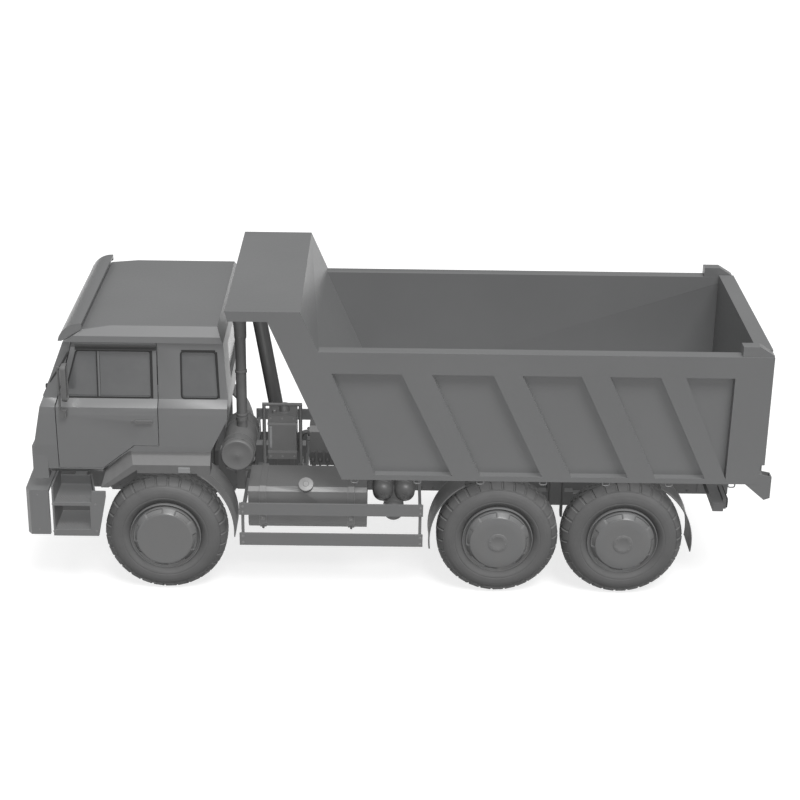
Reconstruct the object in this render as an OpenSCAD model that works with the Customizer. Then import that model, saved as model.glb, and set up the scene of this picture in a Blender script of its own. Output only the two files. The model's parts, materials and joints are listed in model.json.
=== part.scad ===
// Three-axle cab-over dump truck with a covered-front tipping body.
// X points forward, Y to the left and Z up. The origin is on the ground under the middle of the truck.

/* [Overall] */
// Length from the front bumper to the rear catches
overall_l = 7380; // [7300:10:7500]
// Width of the tipping body, the widest fixed part of the truck
body_w = 2550; // [2500:10:2600]

/* [Axles and wheels] */
// Distance of the front axle ahead of the middle of the truck
front_axle_x = 2313; // [2300:1:2325]
// Distance from the front axle to the middle axle
wheelbase = 3329; // [3320:1:3340]
// Distance between the two rear axles
bogie = 1255; // [1250:1:1270]
// Outside diameter of the tyres
tyre_od = 1226; // [1200:2:1230]
// Width of the tyres
tyre_w = 380; // [360:5:385]
// Distance of the outer face of a tyre from the middle plane
wheel_y = 1210; // [1205:1:1215]
// Radius of the rim's edge
rim_r = 355; // [345:1:358]
// Radius of the raised wheel cover
cover_r = 320; // [310:1:322]
// Distance of the kingpins from the middle plane
kingpin_y = 740; // [735:1:745]

/* [Frame] */
// Distance of the outer faces of the frame rails from the middle plane
rail_y = 430; // [425:1:432]
// Height of the underside of the frame rails
rail_z = 790; // [785:1:795]
// Height of one frame rail
rail_h = 220; // [215:1:225]
// Thickness of the rail's web and flanges
rail_t = 10; // [8:1:12]

/* [Tipping body] */
// Height of the top of the body's side walls
wall_top = 2639; // [2600:1:2650]
// Height of the underside of the body
floor_z = 1299; // [1295:1:1305]
// Thickness of a side wall over its ribs
wall_t = 138; // [130:1:145]
// Depth of the recessed panels in the side walls
panel_depth = 95; // [80:1:100]
// Height of the top of the front canopy
canopy_z = 3041; // [3030:1:3050]
// Largest angle that the body tips to
tip_angle = 48; // [40:1:48]
// Distance of the body's rear hinge behind the middle of the truck
hinge_x = 3380; // [3375:1:3385]
// Height of the body's rear hinge
hinge_z = 1180; // [1178:1:1182]

/* [Cab] */
// Half of the cab's width over the doors
cab_y = 1207; // [1200:1:1210]
// Height of the cab's roof
roof_z = 2790; // [2780:1:2795]
// Thickness of the cab's walls and doors
cab_t = 45; // [40:1:50]
// Gap round a door
door_gap = 8; // [6:1:10]
// Height of the cab's tilting pivot
pivot_z = 1250; // [1248:1:1252]

/* [Hidden] */
$fn = 64;

front_x = overall_l / 2;
mid_axle_x = front_axle_x - wheelbase;
rear_axle_x = mid_axle_x - bogie;
bogie_x = (mid_axle_x + rear_axle_x) / 2;
hub_z = tyre_od / 2;
body_y = body_w / 2;
wall_in = body_y - wall_t;
rail_top = rail_z + rail_h;
pin_d = 60;
pin_fit = 0.3;          // what a bore is wider than its pin

// Colours
paint = "#8d8f91";
dark = "#4a4b4d";
steel = "#7b7d80";
rubber = "#333436";
glass = "#9aa0a6";

// A box between two corners
module box(x, y, z)
    translate([x[0], y[0], z[0]]) cube([x[1] - x[0], y[1] - y[0], z[1] - z[0]]);

// The same on the left and on the right
module both() {
    children();
    mirror([0, 1, 0]) children();
}

// An outline in X and Z, thick between two values of Y
module across(outline, y)
    translate([0, y[1], 0]) rotate([90, 0, 0]) linear_extrude(y[1] - y[0]) polygon(outline);

// An outline in Y and Z, long between two values of X
module along(outline, x)
    translate([x[0], 0, 0]) rotate([90, 0, 90]) linear_extrude(x[1] - x[0]) polygon(outline);

// A round bar along Y
module bar_y(x, z, d, y)
    translate([x, y[1], z]) rotate([90, 0, 0]) cylinder(d = d, h = y[1] - y[0]);

// A round bar along X
module bar_x(y, z, d, x)
    translate([x[0], y, z]) rotate([0, 90, 0]) cylinder(d = d, h = x[1] - x[0]);

// ---------------------------------------------------------------- chassis

rail_x = [-3440, 3420];
cross_x = [3320, 2960, 1400, 980, 400, -200, -700, -1643, -2700, -3180];   // crossmembers
hoist_x = 1166;         // lower pin of the hoist
hoist_z = 960;
cradle_x = [950, 1480];

module frame_rails() color(dark) {
    both() difference() {
        box(rail_x, [rail_y - 85, rail_y], [rail_z, rail_top]);
        box([rail_x[0] - 1, rail_x[1] + 1], [rail_y - 86, rail_y - rail_t],
            [rail_z + rail_t, rail_top - rail_t]);
    }
    for (x = cross_x) box([x - 50, x + 50], [-rail_y + rail_t / 2, rail_y - rail_t / 2], [rail_z + 50,
            rail_top - 50]);
    // Bearers that the tipping body rests above
    both() box([-3280, 560], [rail_y - 85, rail_y], [rail_top - 1, hinge_z - 5]);
    // Brackets of the body's hinge, with their pins
    both() difference() {
        across([[-hinge_x - 60, rail_top - 120], [-hinge_x + 150, rail_top - 120], [-hinge_x + 150,
                rail_top],
                [-hinge_x + 45, hinge_z + 45], [-hinge_x - 45, hinge_z + 45], [-hinge_x - 60, rail_top]],
               [rail_y - 30, rail_y]);
        bar_y(-hinge_x, hinge_z, pin_d, [0, rail_y - 31]);
    }
    both() bar_y(-hinge_x, hinge_z, pin_d, [rail_y - 95, rail_y + 20]);
    // Cradle of the hoist: two cheeks with its lower pin, closed in front
    both() along([[100, 915], [150, 915], [150, 1160], [112, 1200], [100, 1200]], cradle_x);
    box([cradle_x[1] - 40, cradle_x[1]], [-101, 101], [915, 1200]);
    bar_y(hoist_x, hoist_z, pin_d, [-149, 149]);
    // Pivots of the cab, ahead of the rails, and its rest behind
    both() difference() {
        union() {
            across([[3300, rail_z + 40], [3490, rail_z + 60], [3555, pivot_z - 10], [3485, pivot_z + 10],
                    [3380, rail_top - 2], [3300, rail_top - 2]], [rail_y - 30, rail_y]);
            bar_y(cab_pivot_x, pivot_z, pivot_head, [rail_y - 30, rail_y]);
        }
        bar_y(cab_pivot_x, pivot_z, 40, [0, rail_y - 31]);
    }
    both() bar_y(cab_pivot_x, pivot_z, 40, [rail_y - 29, rail_y + 50]);
    both() box([1760, 1840], [360, rail_y], [rail_top - 1, 1520]);
    box([1760, 1840], [-rail_y, rail_y], [1440, 1520]);
    // Rear towing jaw
    difference() {
        box([-3480, -3435], [-130, 130], [rail_z + 20, rail_top - 20]);
        bar_x(0, jaw_z, 52, [-3481, -3434]);
    }
    box([-3436, -3200], [-90, -45], [rail_z + 50, rail_top - 50]);
    box([-3436, -3200], [45, 90], [rail_z + 50, rail_top - 50]);
}
jaw_z = 900;            // height of the rear towing bore

module engine_block() color(steel)
    box([1900, 2720], [-320, 320], [700, 1400]);

module driveline() color(steel) {
    box([1500, 1899], [-210, 210], [700, 1120]);
    // Propeller shafts: start, end
    for (s = [[[1499, 0, 760], [mid_axle_x + 218, 0, 690]],
              [[mid_axle_x - 218, 0, 690], [rear_axle_x + 218, 0, 640]]])
        shaft(s[0], s[1], 90);
}

// A round shaft between two points
module shaft(a, b, d) {
    v = b - a;
    l = norm(v);
    translate(a) rotate([0, acos(v[2] / l), atan2(v[1], v[0])]) cylinder(d = d, h = l);
}

module axle_beams() color(dark) {
    // Front axle beam, between the knuckles' forks
    difference() {
        union() {
            box([front_axle_x - 60, front_axle_x + 60], [-kingpin_y, kingpin_y], [hub_z - 75, hub_z + 45]);
            both() translate([front_axle_x, kingpin_y, hub_z - 75]) cylinder(d = 120, h = 120);
        }
        both() translate([front_axle_x, kingpin_y, 0]) cylinder(d = kingpin_d + pin_fit, h = 2000);
    }
    // Driven rear axles
    for (x = [mid_axle_x, rear_axle_x]) {
        bar_y(x, hub_z, 170, [-hub_in, hub_in]);
        both() bar_y(x, hub_z, 110, [hub_in - 1, spindle_out]);
        translate([x, 0, hub_z]) sphere(d = 420);
        box([x, x + 190], [-110, 110], [hub_z - 60, hub_z + 130]);
    }
    box([mid_axle_x - 190, mid_axle_x], [-100, 100], [hub_z, hub_z + 120]);
    // Flanges of the propeller shafts: centre height, start
    for (f = [[690, mid_axle_x + 189], [690, mid_axle_x - 214], [640, rear_axle_x + 189]])
        bar_x(0, f[0], 130, [f[1], f[1] + 25]);
}
hub_in = 800;           // inner end of a rear spindle
hub_face = 875;         // inner face of a wheel's hub
kingpin_d = 50;
spindle_out = 1120;     // outer end of a spindle

module springs() color(dark) {
    // Front leaf springs: rows of leaves, each half length and height
    both() for (i = [0 : 4])
        box([front_axle_x - 640 + 110 * i, front_axle_x + 640 - 110 * i], [rail_y - 80, rail_y - 5],
            [hub_z + 146 - 20 * i, hub_z + 166 - 20 * i + 0.5]);
    both() for (x = [front_axle_x - 615, front_axle_x + 615])
        box([x - 35, x + 35], [rail_y - 80, rail_y - 5], [hub_z + 165, rail_z]);
    // Rear springs, pivoted between the axles
    both() for (i = [0 : 6])
        box([bogie_x - 660 + 80 * i, bogie_x + 660 - 80 * i], [rail_y + 30, rail_y + 120],
            [hub_z + 86 + 22 * i, hub_z + 108.5 + 22 * i]);
    both() box([bogie_x - 90, bogie_x + 90], [rail_y, rail_y + 130], [hub_z + 237, rail_z + 180]);
}

module front_bumper() color(paint) {
    // Plan outline with swept ends
    difference() {
        translate([0, 0, 645]) linear_extrude(485)
            polygon([[3450, -1245], [3640, -1245], [3680, -1190], [front_x, -700], [front_x, 700], [3680,
                    1190],
                     [3640, 1245], [3450, 1245]]);
        translate([0, 0, 640]) linear_extrude(460)
            polygon([[3440, -1205], [3620, -1205], [3645, -1170], [3655, -700], [3655, 700], [3645, 1170],
                     [3620, 1205], [3440, 1205]]);
        // Bores of the two front towing pins
        both() translate([3610, 350, 1000]) cylinder(d = 42, h = 200);
        // Slots for the cab's pivot brackets, and pockets of the headlamps
        both() box([3449, 3575], [rail_y - 36, rail_y + 6], [1090, 1131]);
        both() box([3661, 3700], [lamp_y[0] - 4, lamp_y[1] + 4], [lamp_z[0] - 4, lamp_z[1] + 4]);
    }
    // Arms to the frame
    both() box([3421, 3656], [rail_y - 72, rail_y - 42], [rail_z + 20, 1020]);
}
lamp_y = [820, 1090];
lamp_z = [820, 980];

step_x = [2970, 3420];
step_y = [800, 1245];
step_z = [630, 1185];
// Plan of a tread: its rear edge slants outwards, clear of the steered wheel
tread_plan = [[3415, step_y[0]], [3415, step_y[1] - 5], [2995, step_y[1] - 5], [2995, 1215], [3095,
        step_y[0]]];
module entry_steps() color(paint) both() {
    // Front cheek, and the slanting rear cheek
    box([step_x[1] - 20, step_x[1]], [step_y[0], step_y[1]], step_z);
    translate([0, 0, step_z[0]]) linear_extrude(step_z[1] - 75 - step_z[0])
        polygon([[3085, step_y[0]], [3102, step_y[0]], [3002, 1222], [2985, 1222]]);
    // Outer frame: its lower opening is closed all round, its upper one is open above
    difference() {
        across([[step_x[0], step_z[0]], [step_x[1], step_z[0]], [step_x[1], step_z[1]], [3400, step_z[1]],
                [3400, 1000],
                [3035, 1000], [3025, 1122], [2885, 1122], [2885, 1060]], [step_y[1] - 25, step_y[1]]);
        box([3048, 3400], [step_y[1] - 26, step_y[1] + 1], [700, 960]);
    }
    // Treads and the back wall
    for (z = [660, 960]) translate([0, 0, z]) linear_extrude(40) polygon(tread_plan);
    box([3085, step_x[1]], [step_y[0], step_y[0] + 15], [step_z[0], 1100]);
    // Bracket to the frame
    box([3180, 3300], [rail_y, step_y[0] + 1], [900, 1000]);
}

// One curved mudguard: an arc about an axle from angle a0 to a1
module arc_guard(x, r, a, y, t = 8)
    translate([x, y[1], hub_z]) rotate([90, 0, 0])
        rotate([0, 0, a[0]]) rotate_extrude(angle = a[1] - a[0]) translate([r, 0]) square([t, y[1] - y[0]]);

flare_y = 1250;         // outer face of the front wheel flares
arch_at = [2336, 694];  // centre of the arch behind the front wheel, in X and Z
arch_r = 718;
guard_at = [2266, 792]; // centre of the outer edge behind the front wheel
guard_r = 673;
module mudguards() color(dark) {
    // Front flares: outline of the outer face, then the bevel up to the cab
    both() {
        difference() {
            hull() {
                across([[2850, 1170], [2925, 1170], [2600, 1419], [2480, 1419]], [flare_y - 60, flare_y]);
                across([[2850, 1170], [2888, 1170], [2888, 1300], [2630, 1534], [2480, 1534]],
                       [flare_y - 150, flare_y - 110]);
            }
            across([[2700, 1100], [2851, 1169], [2520, 1331], [2300, 1331], [2300, 1100]],
                   [flare_y - 151, flare_y + 1]);
        }
        along([[1100, 1331], [flare_y, 1331], [flare_y, 1419], [1140, 1534], [1100, 1534]], [1840, 2560]);
        // Rear part: a crescent between two arcs down to its tip, and the shelf over the tyre
        translate([0, flare_y, 0]) rotate([90, 0, 0]) linear_extrude(130) intersection() {
            difference() {
                translate(guard_at) circle(r = guard_r, $fn = 128);
                translate(arch_at) circle(r = arch_r, $fn = 128);
            }
            translate([1500, 640]) square([470, 700]);
        }
        // Its curved back sheet
        translate([0, flare_y - 129, 0]) rotate([90, 0, 0]) linear_extrude(155) intersection() {
            difference() {
                translate(guard_at) circle(r = guard_r, $fn = 128);
                translate(guard_at) circle(r = guard_r - 10, $fn = 128);
            }
            translate([1500, 640]) square([470, 700]);
        }
        translate([arch_at[0], flare_y - 129, arch_at[1]]) rotate([90, -100, 0])
            rotate_extrude(angle = 31) translate([arch_r - 12, 0]) square([12, 290]);
        box([2080, 2160], [rail_y, flare_y - 418], [1330, 1370]);
    }
    // Rear guards before and behind the bogie
    both() {
        arc_guard(mid_axle_x, hub_z + 72, [-8, 60], [835, wheel_y]);
        arc_guard(rear_axle_x, hub_z + 72, [120, 188], [835, wheel_y]);
        for (x = [-680, -2660]) {
            box([x, x + 40], [rail_y, 850], [1125, 1150]);
            box([x, x + 40], [835, 850], [1149, 1190]);
        }
    }
}

tank_x = [297, 1482];
tank_y = [600, 1150];
tank_z = [690, 1140];
module fuel_tank() color(steel) {
    along([[tank_y[0], tank_z[0]], [tank_y[1] - 60, tank_z[0]], [tank_y[1], tank_z[0] + 60],
           [tank_y[1], tank_z[1] - 39], [tank_y[1] - 39, tank_z[1]], [tank_y[0], tank_z[1]]], tank_x);
    for (x = [422, 1306]) {
        along([[tank_y[0] - 20, tank_z[0] - 8], [tank_y[1] - 56, tank_z[0] - 8], [tank_y[1] + 8,
                tank_z[0] + 56],
               [tank_y[1] + 8, tank_z[1] - 36], [tank_y[1] - 36, tank_z[1] + 8], [tank_y[0] - 20,
                       tank_z[1] + 8]],
              [x, x + 65]);
        box([x, x + 65], [rail_y, tank_y[0] + 1], [rail_z + 20, rail_z + 140]);
    }
    translate([905, tank_y[1] - 60, tank_z[1] - 10]) rotate([-40, 0, 0]) cylinder(d = 140, h = 60);
}

module battery_box() color(dark) {
    box([-120, 560], [-1150, -700], [700, 1120]);
    for (x = [-60, 440]) box([x, x + 60], [-701, -rail_y], [rail_z + 20, rail_z + 140]);
}

// Air tanks: centre in X, centre in Z
tank_d = 205;
air_tanks_at = [[140, 1003], [-80, 1003], [30, 790]];
module air_tanks() color(steel) {
    for (t = air_tanks_at) {
        bar_y(t[0], t[1], tank_d, [500, 940]);
        translate([t[0], 940, t[1]]) intersection() {
            translate([0, -30, 0]) sphere(d = tank_d * 1.04);
            rotate([-90, 0, 0]) cylinder(d = tank_d, h = 80);
        }
        translate([t[0], 500, t[1]]) rotate([90, 0, 0]) cylinder(d1 = tank_d, d2 = 120, h = 25);
    }
    // Hanger plates
    box([-190, 250], [rail_y, 460], [rail_z + 10, 1040]);
    for (t = air_tanks_at) box([t[0] - 20, t[0] + 20], [459, 600], [t[1] - 30, t[1] + 30]);
    box([10, 50], [440, 460], [760, rail_z + 20]);
}

guard_x = [-264, 1569];
guard_z = [[875, 1000], [540, 670]];
module side_guards() color(paint) both() {
    for (z = guard_z) box(guard_x, [1200, 1225], z);
    for (x = [-250, 1520]) {
        box([x, x + 30], [1185, 1201], [540, 1000]);
        box([x, x + 30], [rail_y, 1190], [rail_z + 60, rail_z + 120]);
    }
}

cleaner = [1578, 1504];         // axis of the air cleaner in X and Z
cleaner_r = 162;
snorkel = [1556, 800];          // axis of the intake pipe in X and Y
module air_intake() color(steel) {
    difference() {
        union() {
            bar_y(cleaner[0], cleaner[1], cleaner_r * 2, [450, 1170]);
            bar_y(cleaner[0], cleaner[1], cleaner_r * 2 - 30, [1169, 1180]);
            bar_y(cleaner[0], cleaner[1], cleaner_r * 2 + 10, [1120, 1140]);
        }
        bar_y(cleaner[0], cleaner[1], 200, [449, 451]);
    }
    translate([snorkel[0], snorkel[1], cleaner[1] + 100]) cylinder(d = 106, h = 1010);
    translate([snorkel[0], snorkel[1], cleaner[1] + cleaner_r + 60]) cylinder(d = 122, h = 40);
    translate([snorkel[0], snorkel[1], 2620]) cylinder(d = 122, h = 200);
    // Stand on the frame
    box([1540, 1620], [rail_y, 760], [940, 990]);
    box([1540, 1620], [720, 760], [940, cleaner[1] - 100]);
}

oil_x = [1024, 1313];
oil_y = [340, 600];
oil_z = [1207, 1685];
module hydraulic_tank() color(steel) {
    box(oil_x, oil_y, oil_z);
    translate([1150, 470, oil_z[1] - 1]) cylinder(d = 100, h = 76);
    for (x = [1060, 1230]) box([x, x + 40], [rail_y - 40, rail_y], [rail_top, oil_z[0] + 1]);
    // Tube frame round the tank
    for (x = [oil_x[0] - 40, oil_x[1] + 40]) translate([x, 560, 1110]) cylinder(d = 36, h = 685);
    bar_x(560, 1795, 36, [oil_x[0] - 58, oil_x[1] + 58]);
    for (x = [oil_x[0] - 40, oil_x[1] + 40]) {
        box([x - 18, x + 18], [rail_y - 40, 578], [1110, 1146]);
        box([x - 18, x + 18], [rail_y - 40, rail_y], [rail_top, 1111]);
    }
    // Valve box behind, on its two feet
    along([[200, 1066], [rail_y, 1066], [rail_y, 1438], [rail_y - 50, 1490], [200, 1490]], [575, 900]);
    for (x = [600, 835]) box([x, x + 40], [rail_y - 40, rail_y], [rail_top, 1067]);
}

silencer = [-700, 750];         // axis of the silencer in Y and Z
module exhaust() color(steel) {
    bar_x(silencer[0], silencer[1], 320, [1040, 1460]);
    bar_x(silencer[0], silencer[1] - 60, 110, [960, 1041]);
    bar_x(-150, 745, 70, [1440, 1499]);
    shaft([1462, -150, 745], [1400, -545, 745], 70);
    for (x = [1100, 1360]) box([x, x + 40], [-700, -rail_y], [rail_z + 90, rail_z + 150]);
}

module underrun_bar() color(dark) {
    both() box([-3265, -3160], [rail_y, 1150], [940, 1025]);
    both() box([-3300, -3120], [rail_y, rail_y + 12], [rail_z + 20, 1030]);
    both() box([-3300, -3264], [760, 1100], [945, 1060]);
}

// ---------------------------------------------------------------- cab

cab_pivot_x = 3520;
pivot_head = 80;        // width across the rounded head of a pivot bracket
// Side outline of the cab, in X and Z
cab_side = [[2905, 1225], [3545, 1225], [3560, 1640], [3490, 2010], [3250, 2640], [3070, 2755], [2790,
        roof_z],
            [1759, roof_z], [1700, 2640], [1663, 2080], [1668, 1890], [1838, 1545], [2640, 1545], [2905,
                    1345]];
cab_side_in = [[2960, 1270], [3500, 1270], [3513, 1640], [3444, 2000], [3215, 2610], [3055, 2712], [2785,
        roof_z - 45],
               [1790, roof_z - 45], [1745, 2630], [1708, 2080], [1713, 1900], [1868, 1590], [2655, 1590],
                       [2960, 1370]];
// Half of the cross-section, in Y and Z, from the sill to the roof's edge
cab_half = [[880, 1225], [1150, 1300], [cab_y - 14, 1345], [cab_y, 1600], [cab_y, 1925], [cab_y - 7,
        2004], [1129, 2075], [1085, 2590],
            [1103, 2647], [1093, 2707], [1010, roof_z + 1]];
cab_half_in = [[860, 1225], [860, 1272], [1110, 1345], [cab_y - 16 - cab_t, 1380], [cab_y - cab_t, 1600],
        [cab_y - cab_t, 1925], [cab_y - cab_t - 4, 1985],
               [1080, 2057], [1038, 2600], [1030, 2700], [960, roof_z - 45]];
function mirrored(half) = concat(half, [for (i = [len(half) - 1 : -1 : 0]) [-half[i][0], half[i][1]]]);

module cab_outer() intersection() {
    across(cab_side, [-1300, 1300]);
    along(mirrored(cab_half), [1500, 3700]);
}
module cab_inner() intersection() {
    across(cab_side_in, [-1300, 1300]);
    along(mirrored(cab_half_in), [1500, 3700]);
}

door_x = [2345, 3330];
// Outline of the left door's panel, in X and Z, below and above the belt line
door_outline = [[2905, 1360], [3330, 1360], [3335, 2010], [3160, 2640], [2345, 2640], [2345, 1610], [2590,
        1610]];
door_hinge = [3322, 1209];      // axis of a door's hinge in X and Y
door_reach = 980;               // how far a door reaches from its hinge
door_in = 1030;                 // innermost Y that a door may take up
// The door's window and its drop rail
door_window = [[2405, 2085], [3255, 2085], [3123, 2558], [2405, 2558]];
rear_window = [[1752, 2084], [2112, 2084], [2112, 2556], [1776, 2556]];

// The door's outline grown by a gap on every side
module door_prism(gap, y) translate([0, y[1], 0]) rotate([90, 0, 0]) linear_extrude(y[1] - y[0])
    polygon([for (p = door_outline) [p[0] + gap * sign(p[0] - 2950), p[1] + gap * sign(p[1] - 2000)]]);

screen_x = [3000, 3700];
module cab_shell() color(paint) difference() {
    union() {
        difference() {
            cab_outer();
            cab_inner();
        }
        // Corner panels at the front
        both() box([3440, 3590], [1050, cab_y - 6], [1240, 1590]);
        // Lugs of the tilting pivot
        both() intersection() {
            box([3470, 3570], [rail_y + 5, rail_y + 45], [pivot_z - 45, 1300]);
            union() {
                bar_y(cab_pivot_x, pivot_z, pivot_head, [rail_y, rail_y + 60]);
                box([cab_pivot_x - 40, cab_pivot_x + 40], [rail_y, rail_y + 60], [pivot_z, 1300]);
            }
        }
    }
    both() bar_y(cab_pivot_x, pivot_z, 40 + pin_fit, [rail_y + 4, rail_y + 80]);
    both() box([3400, 3700], [rail_y - 40, rail_y + 4.5], [1200, pivot_z + 20]);
    both() bar_y(cab_pivot_x, pivot_z, pivot_head + 20, [rail_y - 40, rail_y + 4.5]);
    // Door openings
    both() door_prism(door_gap, [door_in, 1300]);
    // Rear side windows, the windscreen and the back window
    both() across(rear_window, [900, 1300]);
    along([[-1020, 2100], [1020, 2100], [960, 2570], [-960, 2570]], screen_x);
    along([[-700, 2130], [700, 2130], [680, 2500], [-680, 2500]], [1500, 1900]);
}

visor_end = [[3297, 2646], [3285, 2696], [3247, 2750], [3186, 2799], [3120, 2823], [3061, 2828], [3061,
        2772],
             [3080, 2760], [3262, 2646]];
module sun_visor() color(paint) {
    both() across(visor_end, [1052, 1075]);
    difference() {
        translate([3075, 1075, 2600]) rotate([90, 0, 0]) cylinder(r = 228, h = 2150);
        translate([2800, -1100, 2300]) cube([600, 2200, 346]);
        translate([2800, -1100, 2300]) cube([261, 2200, 600]);
        translate([3075, 1100, 2600]) rotate([90, 0, 0]) cylinder(r = 205, h = 2200);
    }
}

module lamps() color(glass) both() box([3661, 3682], lamp_y, lamp_z);

module cab_glass() color(glass) {
    // Windscreen, parallel to the raked front
    intersection() {
        across([[3475, 2000], [3481, 2000], [3242, 2640], [3236, 2640]], [-1300, 1300]);
        along([[-1015, 2105], [1015, 2105], [956, 2565], [-956, 2565]], screen_x);
    }
    both() intersection() {
        across([for (p = rear_window) [p[0] + 4 * sign(1900 - p[0]), p[1] + 4 * sign(2300 - p[1])]], [900,
                1300]);
        along([[1096, 2075], [1102, 2075], [1058, 2590], [1052, 2590]], [1500, 3700]);
    }
    intersection() {
        across([[1690, 2080], [1696, 2080], [1733, 2640], [1727, 2640]], [-800, 800]);
        along([[-695, 2135], [695, 2135], [676, 2495], [-676, 2495]], [1500, 1900]);
    }
}

// A mirror and its tube, carried by the door
module mirror_head(side) mirror([0, side < 0 ? 1 : 0, 0]) color(dark) {
    box([3190, 3245], [1228, 1360], [2115, 2490]);
    translate([3283, 1240, 1945]) cylinder(d = 22, h = 495);
    for (z = [2160, 2420]) box([3240, 3285], [1232, 1248], [z, z + 20]);
    box([3222, 3292], [1210, 1252], [1913, 1988]);
}

module seats() color(dark) {
    both() {
        box([2350, 2830], [330, 830], [1720, 1860]);
        box([2240, 2350], [330, 830], [1720, 2420]);
        box([2400, 2780], [420, 740], [1590, 1721]);
    }
    box([1870, 2230], [-1000, 1000], [1591, 1760]);
}

module dashboard() color(dark) {
    across([[3060, 1640], [3508, 1640], [3445, 1960], [3180, 2020], [3060, 1900]], [-1080, 1080]);
    // Steering column and wheel
    translate([3100, 580, 1960]) rotate([0, -55, 0]) {
        translate([0, 0, -160]) cylinder(d = 60, h = 280);
        translate([0, 0, 120]) rotate_extrude() translate([230, 0]) circle(d = 32);
        translate([-230, -20, 110]) cube([460, 40, 20]);
        translate([-20, -230, 110]) cube([40, 460, 20]);
    }
}

module door(side) mirror([0, side < 0 ? 1 : 0, 0]) color(paint) {
    difference() {
        intersection() {
            difference() {
                along(mirrored(cab_half), [2000, 3500]);
                along(mirrored(cab_half_in), [1999, 3501]);
            }
            door_prism(0, [door_in, 1300]);
            translate([door_hinge[0], door_hinge[1], 0]) cylinder(r = door_reach, h = 3000, $fn = 128);
        }
        across(door_window, [900, 1300]);
    }
    // Divider of the window
    intersection() {
        box([2904, 2924], [900, 1300], [2084, 2559]);
        along([[1088, 2075], [1118, 2075], [1074, 2590], [1044, 2590]], [1500, 3700]);
    }
    // Handle
    box([2400, 2560], [cab_y - 1, cab_y + 22], [1850, 1877]);
}

module door_glass(side) mirror([0, side < 0 ? 1 : 0, 0]) color(glass)
    for (x = [[2400, 2902], [2926, 3300]]) intersection() {
        across([for (p = door_window) [p[0] + 2 * sign(2850 - p[0]), p[1] + 2 * sign(2300 - p[1])]], [900,
                1300]);
        box(x, [900, 1300], [2000, 2700]);
        along([[1096, 2075], [1102, 2075], [1058, 2590], [1052, 2590]], [1500, 3700]);
    }

// ---------------------------------------------------------------- tipping body

body_rear = -3608;
slope = 0.4345;                 // run of the front wall for each unit of rise
canopy_x = [945, 1663];
lip_z = 2940;
front_low = 545;                // front lower corner of a side wall
wall_side = [[body_rear, wall_top], [769, wall_top], [canopy_x[0], canopy_z], [canopy_x[1], canopy_z],
             [canopy_x[1] - 25, lip_z], [front_low + slope * (lip_z - floor_z), lip_z], [front_low,
                     floor_z],
             [body_rear + 46, floor_z], [body_rear + 46, 1507], [body_rear, 1507]];
floor_top = 1345;
panel_z = [1352, 2420];         // recessed panels, lower and upper edge
// Recessed panels: front and rear lower corner, front and rear upper corner
panels = [[218, -539, 647, -30], [-815, -1425, -320, -915], [-1711, -2272, -1192, -1763],
          [-2538, -3031, -2036, -2527], [-3235, -3235, -2769, -3243]];
function front_line(z) = 769 + 0.4378 * (z - wall_top);

module dump_body() color(paint) {
    difference() {
        both() across(wall_side, [wall_in, body_y]);
        both() for (p = panels)
            across([[p[0], panel_z[0]], [p[1], panel_z[0]], [p[3], panel_z[1]], [p[2], panel_z[1]]],
                   [body_y - panel_depth, body_y + 1]);
    }
    // Floor, and the sloping front wall under the canopy
    box([body_rear + 46, front_line(floor_top) + 60], [-wall_in - 1, wall_in + 1], [floor_z, floor_top]);
    across([[front_line(floor_z), floor_z], [front_line(canopy_z), canopy_z], [front_line(canopy_z) + 70,
            canopy_z],
            [front_line(floor_z) + 70, floor_z]], [-wall_in - 1, wall_in + 1]);
    // Canopy with its lips
    box([canopy_x[0], canopy_x[1] - 10], [-wall_in - 1, wall_in + 1], [canopy_z - 30, canopy_z]);
    across([[canopy_x[1] - 60, canopy_z - 1], [canopy_x[1], canopy_z], [canopy_x[1] - 25, lip_z],
            [canopy_x[1] - 85, lip_z]],
           [-wall_in - 1, wall_in + 1]);
    // Ribs of the front wall
    for (y = [-700, 700]) across([[front_line(floor_z) + 60, floor_z], [front_line(2900) + 60, 2900],
                                  [front_line(2900) + 200, 2900], [front_line(floor_z) + 200, floor_z]],
                                          [y - 60, y + 60]);
    // Long beams under the floor, and cross bearers
    both() box([-3280, 560], [rail_y - 85, rail_y], [hinge_z + 5, floor_z + 1]);
    for (x = [-3150 : 560 : 220]) both() box([x - 40, x + 40], [rail_y - 1, wall_in], [floor_z - 40,
            floor_z + 1]);
    // Hinge ears
    both() difference() {
        union() {
            bar_y(-hinge_x, hinge_z, 110, [rail_y - 90, rail_y - 40]);
            across([[-hinge_x - 55, hinge_z], [-hinge_x + 55, hinge_z], [-hinge_x + 150, floor_z + 1],
                    [-hinge_x - 120, floor_z + 1]], [rail_y - 90, rail_y - 40]);
        }
        bar_y(-hinge_x, hinge_z, pin_d + pin_fit, [rail_y - 91, rail_y - 39]);
    }
    // Upper bracket of the hoist, open towards the front
    hoist_bracket();
    // Tailgate hinge brackets with their pins
    both() {
        across([[-3301, wall_top - 1], [-3301, 2740], [-3466, 2740], [-3606, 2655], [-3606,
                wall_top - 1]], [wall_in + 2, body_y - 14]);
        bar_y(gate_pin_x, gate_pin_z, 40, [wall_in - 60, wall_in + 10]);
    }
    // Rear catches
    both() difference() {
        across([[-3430, floor_z + 1], [-3630, 1129], [-3690, 1150], [-3690, 1380], [-3595, 1400], [-3562,
                1400], [-3562, floor_z + 1]],
               [body_y - 115, body_y - 5]);
        box([-3675, -3600], [body_y - 100, body_y - 20], [1180, 1450]);
    }
}

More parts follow.
